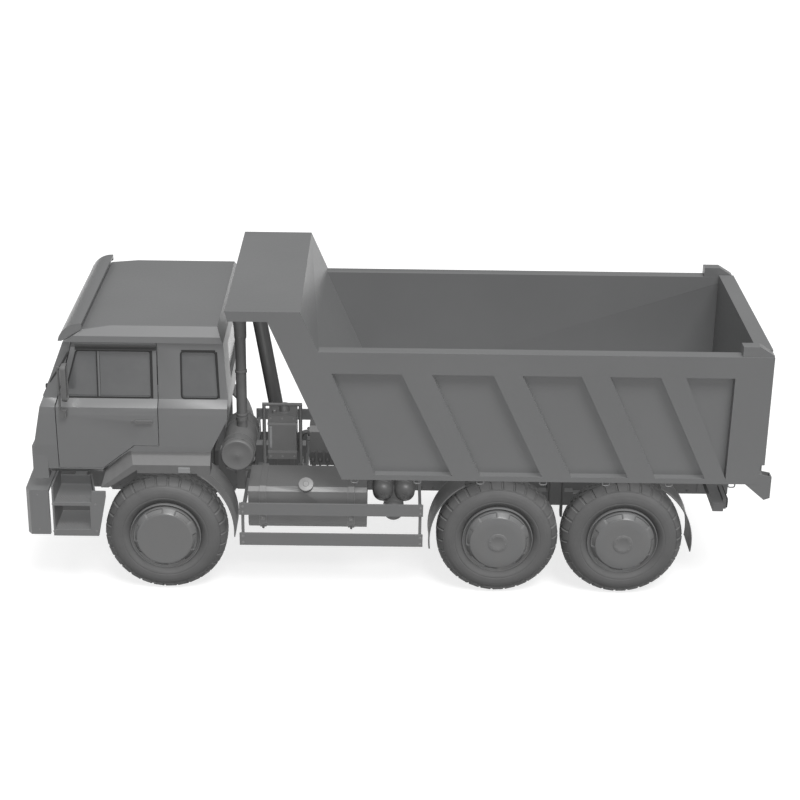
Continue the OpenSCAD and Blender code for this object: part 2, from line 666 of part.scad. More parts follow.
eye_x = 1480;                   // upper eye of the hoist
eye_z = 2830;
module hoist_bracket() both()
    across([[front_line(2700) + 60, 2700], [front_line(2980) + 60, 2980], [eye_x + 60, 2980], [eye_x + 60,
            eye_z + 45],
            [eye_x - 40, eye_z + 45], [eye_x - 40, eye_z - 45], [eye_x - 80, eye_z - 60]], [60, 90]);

gate_x = [-3615, -3457];
gate_z = [1350, 2665];
gate_y = 1127;
gate_pin_x = -3536;
gate_pin_z = 2600;
module tailgate() color(paint) difference() {
    union() {
        box([gate_x[0] + 60, gate_x[1]], [-gate_y, gate_y], gate_z);
        // Frame of ribs on the outside
        for (z = [gate_z[0], 1990, gate_z[1] - 110]) box([gate_x[0], gate_x[0] + 61], [-gate_y, gate_y],
                [z, z + 110]);
        for (y = [-gate_y, -440, 330, gate_y - 110]) box([gate_x[0], gate_x[0] + 61], [y, y + 110], gate_z);
    }
    both() bar_y(gate_pin_x, gate_pin_z, 40 + pin_fit, [wall_in - 65, wall_in + 20]);
}

// ---------------------------------------------------------------- hoist

hoist_tilt = atan2(eye_x - hoist_x, eye_z - hoist_z);
// Each tube: diameter, start and end along the hoist from its lower pin
barrel_d = 150;
stages = [[126, 95, 1690], [102, 110, 1750], [78, 125, 1860]];
hoist_l = norm([eye_x - hoist_x, eye_z - hoist_z]);

module on_hoist() translate([hoist_x, 0, hoist_z]) rotate([0, hoist_tilt, 0]) children();

module hoist_barrel() color(steel) on_hoist() difference() {
    union() {
        translate([0, 0, 60]) cylinder(d = barrel_d, h = 1570);
        translate([0, 0, 1600]) cylinder(d = barrel_d + 16, h = 50);
        translate([0, 65, 0]) rotate([90, 0, 0]) cylinder(d = 130, h = 130);
    }
    translate([0, 0, 90]) cylinder(d = stages[0][0] + 2, h = 1700);
    translate([0, 70, 0]) rotate([90, 0, 0]) cylinder(d = pin_d + pin_fit, h = 140);
}

module hoist_stage(i) color(steel) on_hoist() {
    d = stages[i][0];
    z = [stages[i][1], stages[i][2]];
    if (i < 2) difference() {
        translate([0, 0, z[0]]) cylinder(d = d, h = z[1] - z[0]);
        translate([0, 0, z[0] + 10]) cylinder(d = stages[i + 1][0] + 2, h = z[1]);
    }
    else {
        translate([0, 0, z[0]]) cylinder(d = d, h = hoist_l - z[0]);
        translate([0, 110, hoist_l]) rotate([90, 0, 0]) cylinder(d = 60, h = 220);
    }
}

// ---------------------------------------------------------------- wheels

module knuckle(side) mirror([0, side < 0 ? 1 : 0, 0]) color(dark) translate([front_axle_x, kingpin_y,
        hub_z]) {
    // Fork round the beam's end
    for (z = [-141, 58]) {
        translate([0, 0, z]) cylinder(d = 120, h = 60);
        translate([-60, 0, z]) cube([120, 100, 60]);
    }
    translate([0, 0, -141]) cylinder(d = kingpin_d, h = 259);
    translate([-60, 75, -141]) cube([120, 45, 259]);
    translate([0, spindle_out - kingpin_y, 0]) rotate([90, 0, 0]) cylinder(d = 110,
            h = spindle_out - kingpin_y - 119);
    // Steering arm
    translate([-230, -40, -115]) cube([200, 50, 35]);
}

// Half profile of a tyre: radius, and distance in from its side
tyre_half = [[rim_r - 30, 60], [rim_r + 3, 55], [rim_r + 14, 30], [hub_z - 213, 9], [hub_z - 183, 1],
        [hub_z - 133, 1],
             [hub_z - 103, 9], [hub_z - 78, 22], [hub_z - 53, 41], [hub_z - 31, 64], [hub_z - 13, 88],
                     [hub_z, 114]];
module tyre(x, side) translate([x, side * (wheel_y - tyre_w / 2), hub_z]) rotate([90, 0, 0]) color(rubber)
    rotate_extrude($fn = 96) polygon([
        for (p = tyre_half) [p[0], p[1] - tyre_w / 2], for (i = [len(tyre_half) - 1 : -1 : 0])
            [tyre_half[i][0], tyre_w / 2 - tyre_half[i][1]]]);

// Rim with its raised cover, along Y with the outside at +
module rim(x, side) translate([x, 0, hub_z]) mirror([0, side < 0 ? 1 : 0, 0]) rotate([-90, 0, 0])
        color(steel) {
    // Barrel of the rim with its two flanges
    rotate_extrude($fn = 96) polygon([
        [rim_r - 45, wheel_y - tyre_w + 20], [rim_r, wheel_y - tyre_w + 20], [rim_r, wheel_y - tyre_w + 50],
        [rim_r - 30.5, wheel_y - tyre_w + 59], [rim_r - 30.5, wheel_y - 59], [rim_r, wheel_y - 50],
                [rim_r, wheel_y - 10],
        [rim_r - 14, wheel_y - 10], [rim_r - 45, wheel_y - 60]]);
    // Disc, hub and the raised cover
    difference() {
        union() {
            translate([0, 0, wheel_y - 90]) cylinder(r = rim_r - 40, h = 20);
            translate([0, 0, wheel_y - 89]) cylinder(r = cover_r, h = 84);
            translate([0, 0, wheel_y - 6]) cylinder(r1 = cover_r, r2 = cover_r - 46, h = 58);
            translate([0, 0, hub_face]) cylinder(r = 150, h = wheel_y - 60 - hub_face);
        }
        translate([0, 0, hub_in]) cylinder(d = 110 + pin_fit, h = spindle_out - hub_in + 5);
    }
}

frame_rails();
engine_block();
driveline();
axle_beams();
springs();
front_bumper();
entry_steps();
mudguards();
fuel_tank();
battery_box();
air_tanks();
side_guards();
air_intake();
hydraulic_tank();
exhaust();
underrun_bar();
cab_shell();
sun_visor();
lamps();
cab_glass();
mirror_head(1);  // left_mirror
mirror_head(-1);  // right_mirror
seats();
dashboard();
door(1);  // left_door
door(-1);  // right_door
door_glass(1);  // left_door_glass
door_glass(-1);  // right_door_glass
dump_body();
tailgate();
hoist_barrel();
hoist_stage(0);  // hoist_stage_1
hoist_stage(1);  // hoist_stage_2
hoist_stage(2);  // hoist_stage_3
knuckle(1);  // left_knuckle
knuckle(-1);  // right_knuckle
tyre(front_axle_x, 1);  // front_left_tyre
tyre(front_axle_x, -1);  // front_right_tyre
tyre(mid_axle_x, 1);  // middle_left_tyre
tyre(mid_axle_x, -1);  // middle_right_tyre
tyre(rear_axle_x, 1);  // rear_left_tyre
tyre(rear_axle_x, -1);  // rear_right_tyre
rim(front_axle_x, 1);  // front_left_rim
rim(front_axle_x, -1);  // front_right_rim
rim(mid_axle_x, 1);  // middle_left_rim
rim(mid_axle_x, -1);  // middle_right_rim
rim(rear_axle_x, 1);  // rear_left_rim
rim(rear_axle_x, -1);  // rear_right_rim
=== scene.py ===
"""Looks of a three-axle dump truck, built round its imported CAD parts.

Sizes in the tables are millimetres in the truck's own frame: X forward, Y left, Z up, ground at zero.
Every new surface is worked out as whole arrays: an outline or a section carried along a path,
a profile turned about an axle, or a grid of two parameters.
"""

import json
import math

import bmesh
import bpy
import numpy as np
from mathutils import Matrix, Vector


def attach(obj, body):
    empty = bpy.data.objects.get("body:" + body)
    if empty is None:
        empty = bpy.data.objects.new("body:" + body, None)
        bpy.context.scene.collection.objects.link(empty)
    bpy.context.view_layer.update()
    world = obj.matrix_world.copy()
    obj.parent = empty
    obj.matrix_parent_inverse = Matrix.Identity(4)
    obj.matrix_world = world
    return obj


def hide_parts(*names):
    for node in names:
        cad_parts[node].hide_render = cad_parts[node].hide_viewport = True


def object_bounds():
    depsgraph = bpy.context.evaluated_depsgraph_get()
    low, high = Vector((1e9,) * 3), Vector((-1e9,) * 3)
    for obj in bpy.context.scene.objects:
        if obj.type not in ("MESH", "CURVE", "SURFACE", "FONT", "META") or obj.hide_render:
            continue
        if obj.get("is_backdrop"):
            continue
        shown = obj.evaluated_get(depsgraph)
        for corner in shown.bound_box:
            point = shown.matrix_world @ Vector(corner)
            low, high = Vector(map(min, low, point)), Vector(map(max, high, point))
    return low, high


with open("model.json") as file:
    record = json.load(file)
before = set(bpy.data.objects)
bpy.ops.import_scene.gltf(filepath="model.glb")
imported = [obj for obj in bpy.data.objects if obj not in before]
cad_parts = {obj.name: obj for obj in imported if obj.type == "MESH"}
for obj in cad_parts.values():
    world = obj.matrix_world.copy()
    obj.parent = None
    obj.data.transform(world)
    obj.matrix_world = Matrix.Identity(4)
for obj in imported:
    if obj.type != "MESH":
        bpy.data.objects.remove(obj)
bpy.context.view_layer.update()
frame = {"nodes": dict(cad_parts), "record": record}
MM = 0.001
SIDES = (1, -1)

# ------------------------------------------------------------------ camera, light and floor


def studio():
    """A long lens from the left side and above, a broad soft key light from the rear left that is partly
    shadowless, a weak light from the front, a sky that fades towards the ground, and a pale floor."""
    scene = bpy.context.scene
    scene.view_settings.view_transform = "Standard"
    yaw, pitch, roll = (math.radians(a) for a in (-0.4128, 22.5206, 0.864))
    ahead = np.array([math.sin(yaw) * math.cos(pitch), -math.cos(yaw) * math.cos(pitch), -math.sin(pitch)])
    level = np.cross(ahead, [0, 0, 1])
    level /= np.linalg.norm(level)
    right = math.cos(roll) * level + math.sin(roll) * np.cross(level, ahead)
    up = np.cross(right, ahead)
    lens = bpy.data.cameras.new("camera")
    lens.lens, lens.sensor_width = 81.53, 36
    lens.clip_start, lens.clip_end = 0.1, 200
    camera = bpy.data.objects.new("camera", lens)
    turn = np.eye(4)
    turn[:3, 0], turn[:3, 1], turn[:3, 2], turn[:3, 3] = right, up, -ahead, (0.100, 17.4615, 8.867)
    camera.matrix_world = Matrix(turn.tolist())
    scene.collection.objects.link(camera)
    scene.camera = camera
    # Each light: name, irradiance, softness in degrees, azimuth from +Y towards the front, elevation,
    # and whether it casts shadows
    for name, power, soft, azimuth, height, shadows in (
        ("key", 1.05, 24, -22, 58, True),
        ("key_fill", 1.75, 24, -22, 58, False),
        ("front", 0.30, 60, 88, 20, True),
    ):
        light = bpy.data.lights.new(name, "SUN")
        light.energy, light.angle = power, math.radians(soft)
        light.use_shadow = shadows
        lamp = bpy.data.objects.new(name, light)
        a, e = math.radians(azimuth), math.radians(height)
        aim = Vector((math.sin(a) * math.cos(e), math.cos(a) * math.cos(e), math.sin(e)))
        lamp.rotation_mode = "QUATERNION"
        lamp.rotation_quaternion = aim.to_track_quat("Z", "Y")
        scene.collection.objects.link(lamp)
    world = bpy.data.worlds.new("sky")
    scene.world = world
    world.use_nodes = True
    tree = world.node_tree
    sky = Looks(tree)
    around = sky.node("ShaderNodeTexCoord", {}, out="Generated")
    height = sky.node("ShaderNodeSeparateXYZ", {}, around, out="Z")
    glow = 0.16 + 0.16 * height
    tree.links.new(glow.socket, tree.nodes["Background"].inputs["Color"])
    floor_mesh = bpy.data.meshes.new("floor")
    floor_mesh.from_pydata([(-60, -60, 0), (60, -60, 0), (60, 60, 0), (-60, 60, 0)], [], [(0, 1, 2, 3)])
    floor = bpy.data.objects.new("floor", floor_mesh)
    scene.collection.objects.link(floor)
    floor_mesh.materials.append(FLOOR)
    floor.visible_diffuse = False
    floor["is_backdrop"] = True


# ------------------------------------------------------------------ finishes


class Signal:
    """One output of a node, with plain arithmetic on values."""

    def __init__(self, looks, socket):
        self.looks, self.socket = looks, socket

    def _with(self, kind, *parts):
        return self.looks.node("ShaderNodeMath", {"operation": kind}, *parts)

    def __add__(self, other):
        return self._with("ADD", self, other)

    def __rsub__(self, other):
        return self._with("SUBTRACT", other, self)

    def __mul__(self, other):
        return self._with("MULTIPLY", self, other)

    __radd__, __rmul__ = __add__, __mul__


class Looks:
    """A shader tree that is filled one node at a time."""

    def __init__(self, tree):
        self.tree = tree

    def node(self, kind, settings, *inputs, out=0, **named):
        """A node of a kind: its settings first, then values or links for its sockets, by order or by name."""
        made = self.tree.nodes.new(kind)
        for key, value in settings.items():
            setattr(made, key, value)
        wanted = list(enumerate(inputs)) + [(k.replace("_", " "), v) for k, v in named.items()]
        for key, value in wanted:
            if isinstance(value, Signal):
                self.tree.links.new(value.socket, made.inputs[key])
            else:
                made.inputs[key].default_value = value
        return Signal(self, made.outputs[out])


class Finish(Looks):
    """A material on one Principled shader, patterned over Object coordinates."""

    def __init__(self, name, **constants):
        self.material = bpy.data.materials.new(name)
        self.material.use_nodes = True
        super().__init__(self.material.node_tree)
        self.shader = self.tree.nodes["Principled BSDF"]
        for key, value in constants.items():
            self.shader.inputs[key.replace("_", " ")].default_value = value
        self.place = self.node("ShaderNodeTexCoord", {}, out="Object")
        split = self.tree.nodes.new("ShaderNodeSeparateXYZ")
        self.tree.links.new(self.place.socket, split.inputs[0])
        self.height = Signal(self, split.outputs["Z"])

    def noise(self, scale, detail=2.0, stretch=(1, 1, 1)):
        """Noise of about zero to one; stretch makes the pattern finer along an axis."""
        spot = self.place
        if stretch != (1, 1, 1):
            spot = self.node("ShaderNodeMapping", {}, self.place, Scale=stretch)
        return self.node("ShaderNodeTexNoise", {}, Vector=spot, Scale=scale, Detail=detail)

    def spread(self, signal, low, high):
        """The signal's middle range stretched to low..high, and held there beyond."""
        return self.node("ShaderNodeMapRange", {"clamp": True}, Value=signal, From_Min=0.3, From_Max=0.7,
                         To_Min=low, To_Max=high)

    def blend(self, amount, first, second):
        """Two colours mixed by an amount."""
        mixed = self.tree.nodes.new("ShaderNodeMix")
        mixed.data_type = "RGBA"
        for key, value in ((0, amount), (6, first), (7, second)):
            if isinstance(value, Signal):
                self.tree.links.new(value.socket, mixed.inputs[key])
            else:
                mixed.inputs[key].default_value = value
        return Signal(self, mixed.outputs[2])

    def feed(self, **sockets):
        """Signals to the shader's own sockets."""
        for key, value in sockets.items():
            self.tree.links.new(value.socket, self.shader.inputs[key.replace("_", " ")])
        return self

    def relief(self, height, depth, strength=1.0):
        """A bump of a real depth in metres."""
        self.feed(Normal=self.node("ShaderNodeBump", {}, Height=height, Distance=depth, Strength=strength))
        return self


def shade(value, tint=0.0):
    """A grey colour; a tint above zero cools it a little."""
    return (value * (1 - tint), value, value * (1 + tint), 1)


def painted(name, value, gloss, coat, dust=0.10, tint=0.01):
    """Sprayed paint: slow colour drift, road dust that thickens towards the ground, faint orange peel."""
    f = Finish(name, Coat_Roughness=0.22, Specular_IOR_Level=0.45)
    drift = f.spread(f.noise(0.9, 3.0), 0.0, 1.0)
    coat_colour = f.blend(drift, shade(value * 0.965, tint), shade(value * 1.035, tint))
    low = f.node("ShaderNodeMapRange", {"clamp": True}, Value=f.height, From_Min=1.5, From_Max=0.4,
                 To_Min=0.15, To_Max=1.0)
    patches = f.spread(f.noise(5.5, 5.0, (1, 1, 0.35)), 0.0, 1.0)
    grime = low * patches * dust * 3.0
    f.feed(
        Base_Color=f.blend(grime, coat_colour, shade(value * 1.12, -0.03)),
        Roughness=gloss + 0.10 * grime + 0.06 * f.spread(f.noise(38.0), 0.0, 1.0),
        Coat_Weight=coat - coat * 0.8 * grime,
    )
    return f.relief(f.noise(260.0, 1.0), 0.0004, 0.25).material


def steely(name, value, gloss, metal, grain=(1, 1, 1), tint=0.0):
    """Bare or zinc-coated metal: cloudy tone, uneven polish and a fine grain."""
    f = Finish(name, Specular_IOR_Level=0.5)
    cloud = f.spread(f.noise(4.0, 4.0), 0.0, 1.0)
    fine = f.spread(f.noise(120.0, 2.0, grain), 0.0, 1.0)
    f.feed(
        Base_Color=f.blend(cloud, shade(value * 0.93, tint), shade(value * 1.06, tint)),
        Metallic=metal + 0.08 * cloud,
        Roughness=gloss + 0.08 * fine + 0.05 * cloud,
    )
    return f.relief(fine, 0.0003, 0.3).material


def moulded(name, value, gloss, grain=900.0):
    """Moulded plastic or rubber with a fine leathery grain and pale scuffs."""
    f = Finish(name, Specular_IOR_Level=0.4)
    scuff = f.spread(f.noise(9.0, 6.0), 0.0, 1.0)
    f.feed(
        Base_Color=f.blend(scuff, shade(value * 0.95), shade(value * 1.08)),
        Roughness=gloss + 0.10 * scuff,
    )
    cells = f.node("ShaderNodeTexVoronoi", {}, Vector=f.place, Scale=grain)
    return f.relief(cells, 0.0004, 0.3).material


def rubbered():
    """Tyre rubber: matt, with patches of dust and a fine moulding grain."""
    f = Finish("tyre_rubber", Specular_IOR_Level=0.35)
    dust = f.spread(f.noise(7.0, 5.0), 0.0, 1.0)
    f.feed(
        Base_Color=f.blend(dust, shade(0.150), shade(0.176)),
        Roughness=0.52 + 0.14 * dust,
    )
    return f.relief(f.noise(520.0, 2.0), 0.0005, 0.35).material


def glazed():
    """Tinted safety glass: nearly opaque grey with a hard gloss and a slight film of dust."""
    f = Finish("tinted_glass", IOR=1.5, Specular_IOR_Level=0.5)
    film = f.spread(f.noise(3.0, 4.0), 0.0, 1.0)
    f.feed(
        Base_Color=f.blend(film, shade(0.165, 0.02), shade(0.19, 0.01)),
        Roughness=0.10 + 0.10 * film,
        Alpha=0.86 + 0.06 * film,
    )
    return f.material


def woven():
    """Seat cloth: a plain weave in two directions, with a soft sheen."""
    f = Finish("seat_cloth", Sheen_Weight=0.3, Sheen_Roughness=0.5)
    over = f.node("ShaderNodeTexWave", {"wave_type": "BANDS", "bands_direction": "X"}, Vector=f.place,
                  Scale=170.0)
    under = f.node("ShaderNodeTexWave", {"wave_type": "BANDS", "bands_direction": "Z"}, Vector=f.place,
                   Scale=170.0)
    weave = 0.5 * over + 0.5 * under
    f.feed(
        Base_Color=f.blend(f.spread(f.noise(6.0, 4.0), 0.0, 1.0), shade(0.075), shade(0.10)),
        Roughness=0.78 + 0.12 * weave,
    )
    return f.relief(weave, 0.0012, 0.6).material


def clear_cover():
    """Lamp cover: pale moulded plastic with a clear coat and a slightly uneven gloss."""
    f = Finish("lamp_lens", IOR=1.5, Coat_Weight=0.5)
    f.feed(
        Base_Color=f.blend(f.noise(30.0), shade(0.30, 0.02), shade(0.34, 0.01)),
        Roughness=0.12 + 0.1 * f.noise(60.0),
    )
    return f.material


def ground():
    """Pale studio floor that keeps a faint shadow under the truck."""
    f = Finish("studio_floor", Emission_Strength=0.42, Specular_IOR_Level=0.0, Roughness=0.9)
    f.shader.inputs["Emission Color"].default_value = (1, 1, 1, 1)
    f.feed(Base_Color=f.blend(f.noise(0.4), shade(0.74), shade(0.76)))
    return f.material


BODY_PAINT = painted("body_paint", 0.205, 0.40, 0.22)
CAB_PAINT = painted("cab_paint", 0.207, 0.36, 0.30)
FRAME_PAINT = painted("chassis_enamel", 0.165, 0.46, 0.10, dust=0.16)
RIM_PAINT = painted("wheel_enamel", 0.200, 0.38, 0.2, dust=0.14)
TANK_STEEL = steely("brushed_steel", 0.205, 0.36, 0.05, (1, 14, 1))
PIPE_STEEL = steely("pipe_steel", 0.21, 0.34, 0.05, (6, 6, 1))
RAM_STEEL = steely("ram_steel", 0.20, 0.30, 0.05, (10, 10, 1))
CAST_IRON = steely("cast_iron", 0.135, 0.58, 0.05)
ZINC = steely("zinc_bolts", 0.26, 0.34, 0.15)
PLASTIC = moulded("moulded_plastic", 0.185, 0.46)
DARK_PLASTIC = moulded("dark_trim", 0.055, 0.5)
SEAL = moulded("rubber_seal", 0.035, 0.62)
TYRE = rubbered()
GLASS = glazed()
CLOTH = woven()
LENS = clear_cover()
MIRROR = steely("mirror_glass", 0.24, 0.08, 0.55)
FLOOR = ground()

# ------------------------------------------------------------------ surfaces


class Surface:
    """Points and faces collected from several shapes, in millimetres."""

    def __init__(self):
        self.points, self.faces, self.count = [], [], 0

    def add(self, points, faces):
        """Adds one shape."""
        points = np.array(points, float).reshape(-1, 3)
        self.points.append(points)
        self.faces += [tuple(int(i) + self.count for i in f) for f in faces]
        self.count += len(points)
        return self

    def grid(self, points, wrap_u=False, wrap_v=False):
        """A grid of points (u, v, 3) joined by four-sided faces; either way may close on itself."""
        nu, nv = points.shape[:2]
        u = np.arange(nu if wrap_u else nu - 1)[:, None]
        v = np.arange(nv if wrap_v else nv - 1)[None, :]
        u2, v2 = (u + 1) % nu, (v + 1) % nv
        quads = np.stack([u * nv + v, u2 * nv + v, u2 * nv + v2, u * nv + v2], -1).reshape(-1, 4)
        return self.add(points, quads)


def extruded(surface, outline, axis, span):
    """An outline carried straight along an axis between two places.
    axis 'y' takes the outline in X and Z, 'x' in Y and Z, 'z' in X and Y."""
    flat = np.asarray(outline, float)
    n = len(flat)
    order = {"x": (2, 0, 1), "y": (0, 2, 1), "z": (0, 1, 2)}[axis]
    layers = [np.column_stack([flat, np.full(n, s)])[:, order] for s in span]
    i = np.arange(n)
    sides = np.stack([i, (i + 1) % n, (i + 1) % n + n, i + n], -1)
    return surface.add(np.concatenate(layers), [*sides, tuple(i[::-1]), tuple(i + n)])


def boxed(surface, x, y, z):
    """A block between two corners."""
    return extruded(surface, [(x[0], z[0]), (x[1], z[0]), (x[1], z[1]), (x[0], z[1])], "y", y)


def turned(surface, profile, centre, axis="y", n=64, arc=None, closed=False):
    """A profile of (radius, place along the axis) turned about an axis through a centre.
    Point = centre + radius * (cos t, sin t) across the axis + place along it."""
    p = np.asarray(profile, float)
    full = arc is None
    a = np.linspace(0, 2 * np.pi, n, endpoint=False) if full else np.radians(np.linspace(*arc, n))
    ring = np.stack([p[None, :, 0] * np.cos(a)[:, None], p[None, :, 0] * np.sin(a)[:, None],
                     np.broadcast_to(p[None, :, 1], (n, len(p)))], -1)
    order = {"x": (2, 0, 1), "y": (0, 2, 1), "z": (0, 1, 2)}[axis]
    return surface.grid(ring[..., order] + np.asarray(centre, float), wrap_u=full, wrap_v=closed)


def swept(surface, path, section, normal=None, closed=False, caps=True):
    """A section carried along a path. The section's first axis lies across the path, level with the mitre
    between two stretches and lengthened by it, and the second lies along the normal. Without a normal
    the section's axes are carried along by the least turn."""
    p = np.asarray(path, float)
    s = np.asarray(section, float)
    step = np.diff(np.vstack([p, p[:1]]) if closed else p, axis=0)
    step /= np.linalg.norm(step, axis=1)[:, None]
    back = np.roll(step, 1, 0) if closed else np.vstack([step[:1], step])
    fore = step if closed else np.vstack([step, step[-1:]])
    along = back + fore
    along /= np.linalg.norm(along, axis=1)[:, None]
    if normal is None:
        start = np.cross(along[0], [0, 0, 1.0])
        if np.linalg.norm(start) < 0.2:
            start = np.cross(along[0], [0, 1.0, 0])
        across = [start / np.linalg.norm(start)]
        for t in along[1:]:
            c = across[-1] - t * (across[-1] @ t)
            across.append(c / np.linalg.norm(c))
        across = np.array(across)
        rise = np.cross(along, across)
        points = p[:, None] + across[:, None] * s[None, :, :1] + rise[:, None] * s[None, :, 1:]
    else:
        n = np.broadcast_to(np.asarray(normal, float), p.shape)
        n = n / np.linalg.norm(n, axis=1)[:, None]
        across = np.cross(along, n)
        across /= np.linalg.norm(across, axis=1)[:, None]
        mitre = 1 / np.clip((along * fore).sum(1), 0.35, 1)
        wide = across[:, None] * mitre[:, None, None] * s[None, :, :1]
        points = p[:, None] + wide + n[:, None] * s[None, :, 1:]
    surface.grid(points, wrap_u=closed, wrap_v=True)
    if caps and not closed:
        k = len(s)
        surface.add(points[0], [tuple(range(k))[::-1]]).add(points[-1], [tuple(range(k))])
    return surface


def circle(radius, n=14, centre=(0, 0)):
    """A round section."""
    a = np.linspace(0, 2 * np.pi, n, endpoint=False)
    return np.stack([centre[0] + radius * np.cos(a), centre[1] + radius * np.sin(a)], -1)


def flat_bar(width, thick, rise=0.0):
    """A rectangular section that stands on the surface, from rise below it to thick above."""
    w = width / 2
    return [(-w, -rise), (w, -rise), (w, thick), (-w, thick)]


def rounded(path, radius, steps=6, closed=False):
    """A path whose corners are replaced by curves that start a radius away from each corner:
    point = a(1-t)^2 + 2 corner t(1-t) + b t^2."""
    p = np.asarray(path, float)
    out = [] if closed else [p[:1]]
    t = np.linspace(0, 1, steps)[:, None]
    for i in range(0 if closed else 1, len(p) if closed else len(p) - 1):
        a, c, b = p[i - 1], p[i], p[(i + 1) % len(p)]
        r1 = min(radius, np.linalg.norm(a - c) * 0.49)
        r2 = min(radius, np.linalg.norm(b - c) * 0.49)
        s = c + (a - c) / np.linalg.norm(a - c) * r1
        e = c + (b - c) / np.linalg.norm(b - c) * r2
        out.append(s * (1 - t) ** 2 + 2 * c * t * (1 - t) + e * t**2)
    if not closed:
        out.append(p[-1:])
    return np.vstack(out)


def bolts(surface, places, axis, across=24, height=10, sides=6):
    """Bolt heads with a washer and a domed top; each place is on the surface, and axis points outwards."""
    sign = -1 if axis.startswith("-") else 1
    h = sign * height
    for x, y, z in places:
        turned(surface, [(0, h), (across * 0.36, h), (across * 0.5, h * 0.75), (across * 0.5, h * 0.2)],
               (x, y, z), axis[-1], sides)
        turned(surface, [(across * 0.5, h * 0.2), (across * 0.72, h * 0.2), (across * 0.76, -h * 0.3)],
               (x, y, z), axis[-1], 14)
    return surface


def finished(name, mesh, material, body, slot, replaces=(), bevel=0.0, angle=24, segments=2, smooth=24):
    """Makes an object of a mesh in place: cleaned, faces outwards, edges bevelled, riding on its body."""
    obj = bpy.data.objects.new(name, mesh)
    bpy.context.scene.collection.objects.link(obj)
    mesh.materials.clear()
    mesh.materials.append(material)
    mesh.polygons.foreach_set("use_smooth", np.ones(len(mesh.polygons), bool))
    mesh.set_sharp_from_angle(angle=math.radians(smooth))
    if bevel:
        round_off = obj.modifiers.new("edges", "BEVEL")
        round_off.width, round_off.segments = bevel * MM, segments
        round_off.limit_method, round_off.angle_limit = "ANGLE", math.radians(angle)
        round_off.use_clamp_overlap = True
        round_off.harden_normals = True
    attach(obj, body)
    if replaces:
        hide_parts(*replaces)
    return obj


def piece(name, surface, material, body, slot, replaces=(), merge=0.05, outward=True, **edges):
    """An object of a collected surface. Doubles are merged, then each closed shell's faces are turned out."""
    mesh = bpy.data.meshes.new(name)
    mesh.from_pydata((np.concatenate(surface.points) * MM).tolist(), [], surface.faces)
    work = bmesh.new()
    work.from_mesh(mesh)
    bmesh.ops.remove_doubles(work, verts=work.verts, dist=merge * MM)
    bmesh.ops.dissolve_degenerate(work, edges=work.edges, dist=1e-5)
    if outward:
        bmesh.ops.recalc_face_normals(work, faces=work.faces)
    work.to_mesh(mesh)
    work.free()
    return finished(name, mesh, material, body, slot, replaces, **edges)


def dressed(node, material, slot, body, bevel=5.0, **edges):
    """A copy of a CAD node's shape with its loose triangles merged into clean faces and its edges rounded."""
    mesh = frame["nodes"][node].data.copy()
    mesh.name = node + "_skin"
    work = bmesh.new()
    work.from_mesh(mesh)
    bmesh.ops.remove_doubles(work, verts=work.verts, dist=2e-5)
    bmesh.ops.dissolve_limit(work, angle_limit=math.radians(0.6), verts=work.verts, edges=work.edges)
    bmesh.ops.dissolve_degenerate(work, edges=work.edges, dist=1e-5)
    bmesh.ops.recalc_face_normals(work, faces=work.faces)
    work.to_mesh(mesh)
    work.free()
    return finished(node + "_skin", mesh, material, body, slot, (node,), bevel=bevel, **edges)


BODY_OF = {n: b for b, nodes in frame["record"]["behaviour"]["bodies"].items() for n in nodes}

# ------------------------------------------------------------------ CAD parts that keep their shape

# Finish and material slot of each part, then how far its edges are rounded
SKINS = {
    "frame_rails": (FRAME_PAINT, "chassis_paint", 3),
    "engine_block": (CAST_IRON, "cast", 14),
    "driveline": (CAST_IRON, "cast", 6),
    "axle_beams": (CAST_IRON, "cast", 6),
    "springs": (FRAME_PAINT, "chassis_paint", 2),
    "front_bumper": (CAB_PAINT, "painted", 9),
    "entry_steps": (CAB_PAINT, "painted", 4),
    "mudguards": (PLASTIC, "dark_plastic", 3),
    "fuel_tank": (TANK_STEEL, "metal", 7),
    "battery_box": (PLASTIC, "dark_plastic", 12),
    "side_guards": (BODY_PAINT, "painted", 5),
    "air_intake": (PLASTIC, "metal", 5),
    "hydraulic_tank": (TANK_STEEL, "metal", 9),
    "exhaust": (PIPE_STEEL, "metal", 5),
    "underrun_bar": (FRAME_PAINT, "chassis_paint", 5),
    "cab_shell": (CAB_PAINT, "painted", 7),
    "sun_visor": (CAB_PAINT, "painted", 4),
    "dashboard": (DARK_PLASTIC, "dark_plastic", 8),
    "left_door": (CAB_PAINT, "painted", 4),
    "right_door": (CAB_PAINT, "painted", 4),
    "cab_glass": (GLASS, "glazing", 0),
    "left_door_glass": (GLASS, "glazing", 0),
    "right_door_glass": (GLASS, "glazing", 0),
    "dump_body": (BODY_PAINT, "painted", 5),
    "tailgate": (BODY_PAINT, "painted", 6),
    "hoist_barrel": (RAM_STEEL, "metal", 4),
    "hoist_stage_1": (RAM_STEEL, "metal", 2),
    "hoist_stage_2": (RAM_STEEL, "metal", 2),
    "hoist_stage_3": (RAM_STEEL, "metal", 2),
    "left_knuckle": (CAST_IRON, "chassis_paint", 5),
    "right_knuckle": (CAST_IRON, "chassis_paint", 5),
}
for node, (finish, slot, bevel) in SKINS.items():
    dressed(node, finish, slot, BODY_OF[node], bevel)

# ------------------------------------------------------------------ wheels

AXLES = {"front": 2313, "middle": -1016, "rear": -2271}
HUB_Z = 613
GUARD_RADIUS = 689  # outer face of a rear guard about its axle
TYRE_MID = 1020  # middle plane of a tyre
PITCHES = 30  # tread blocks round a tyre


# Outer profile of a tyre: radius, and distance from its middle plane
TYRE_SIDE = [(358, 148), (370, 161), (385, 172), (400, 181), (412, 186), (430, 189), (455, 190),
             (480, 188.5),
             (510, 181), (535, 168), (560, 149), (582, 126), (600, 102), (610, 86), (613, 76)]


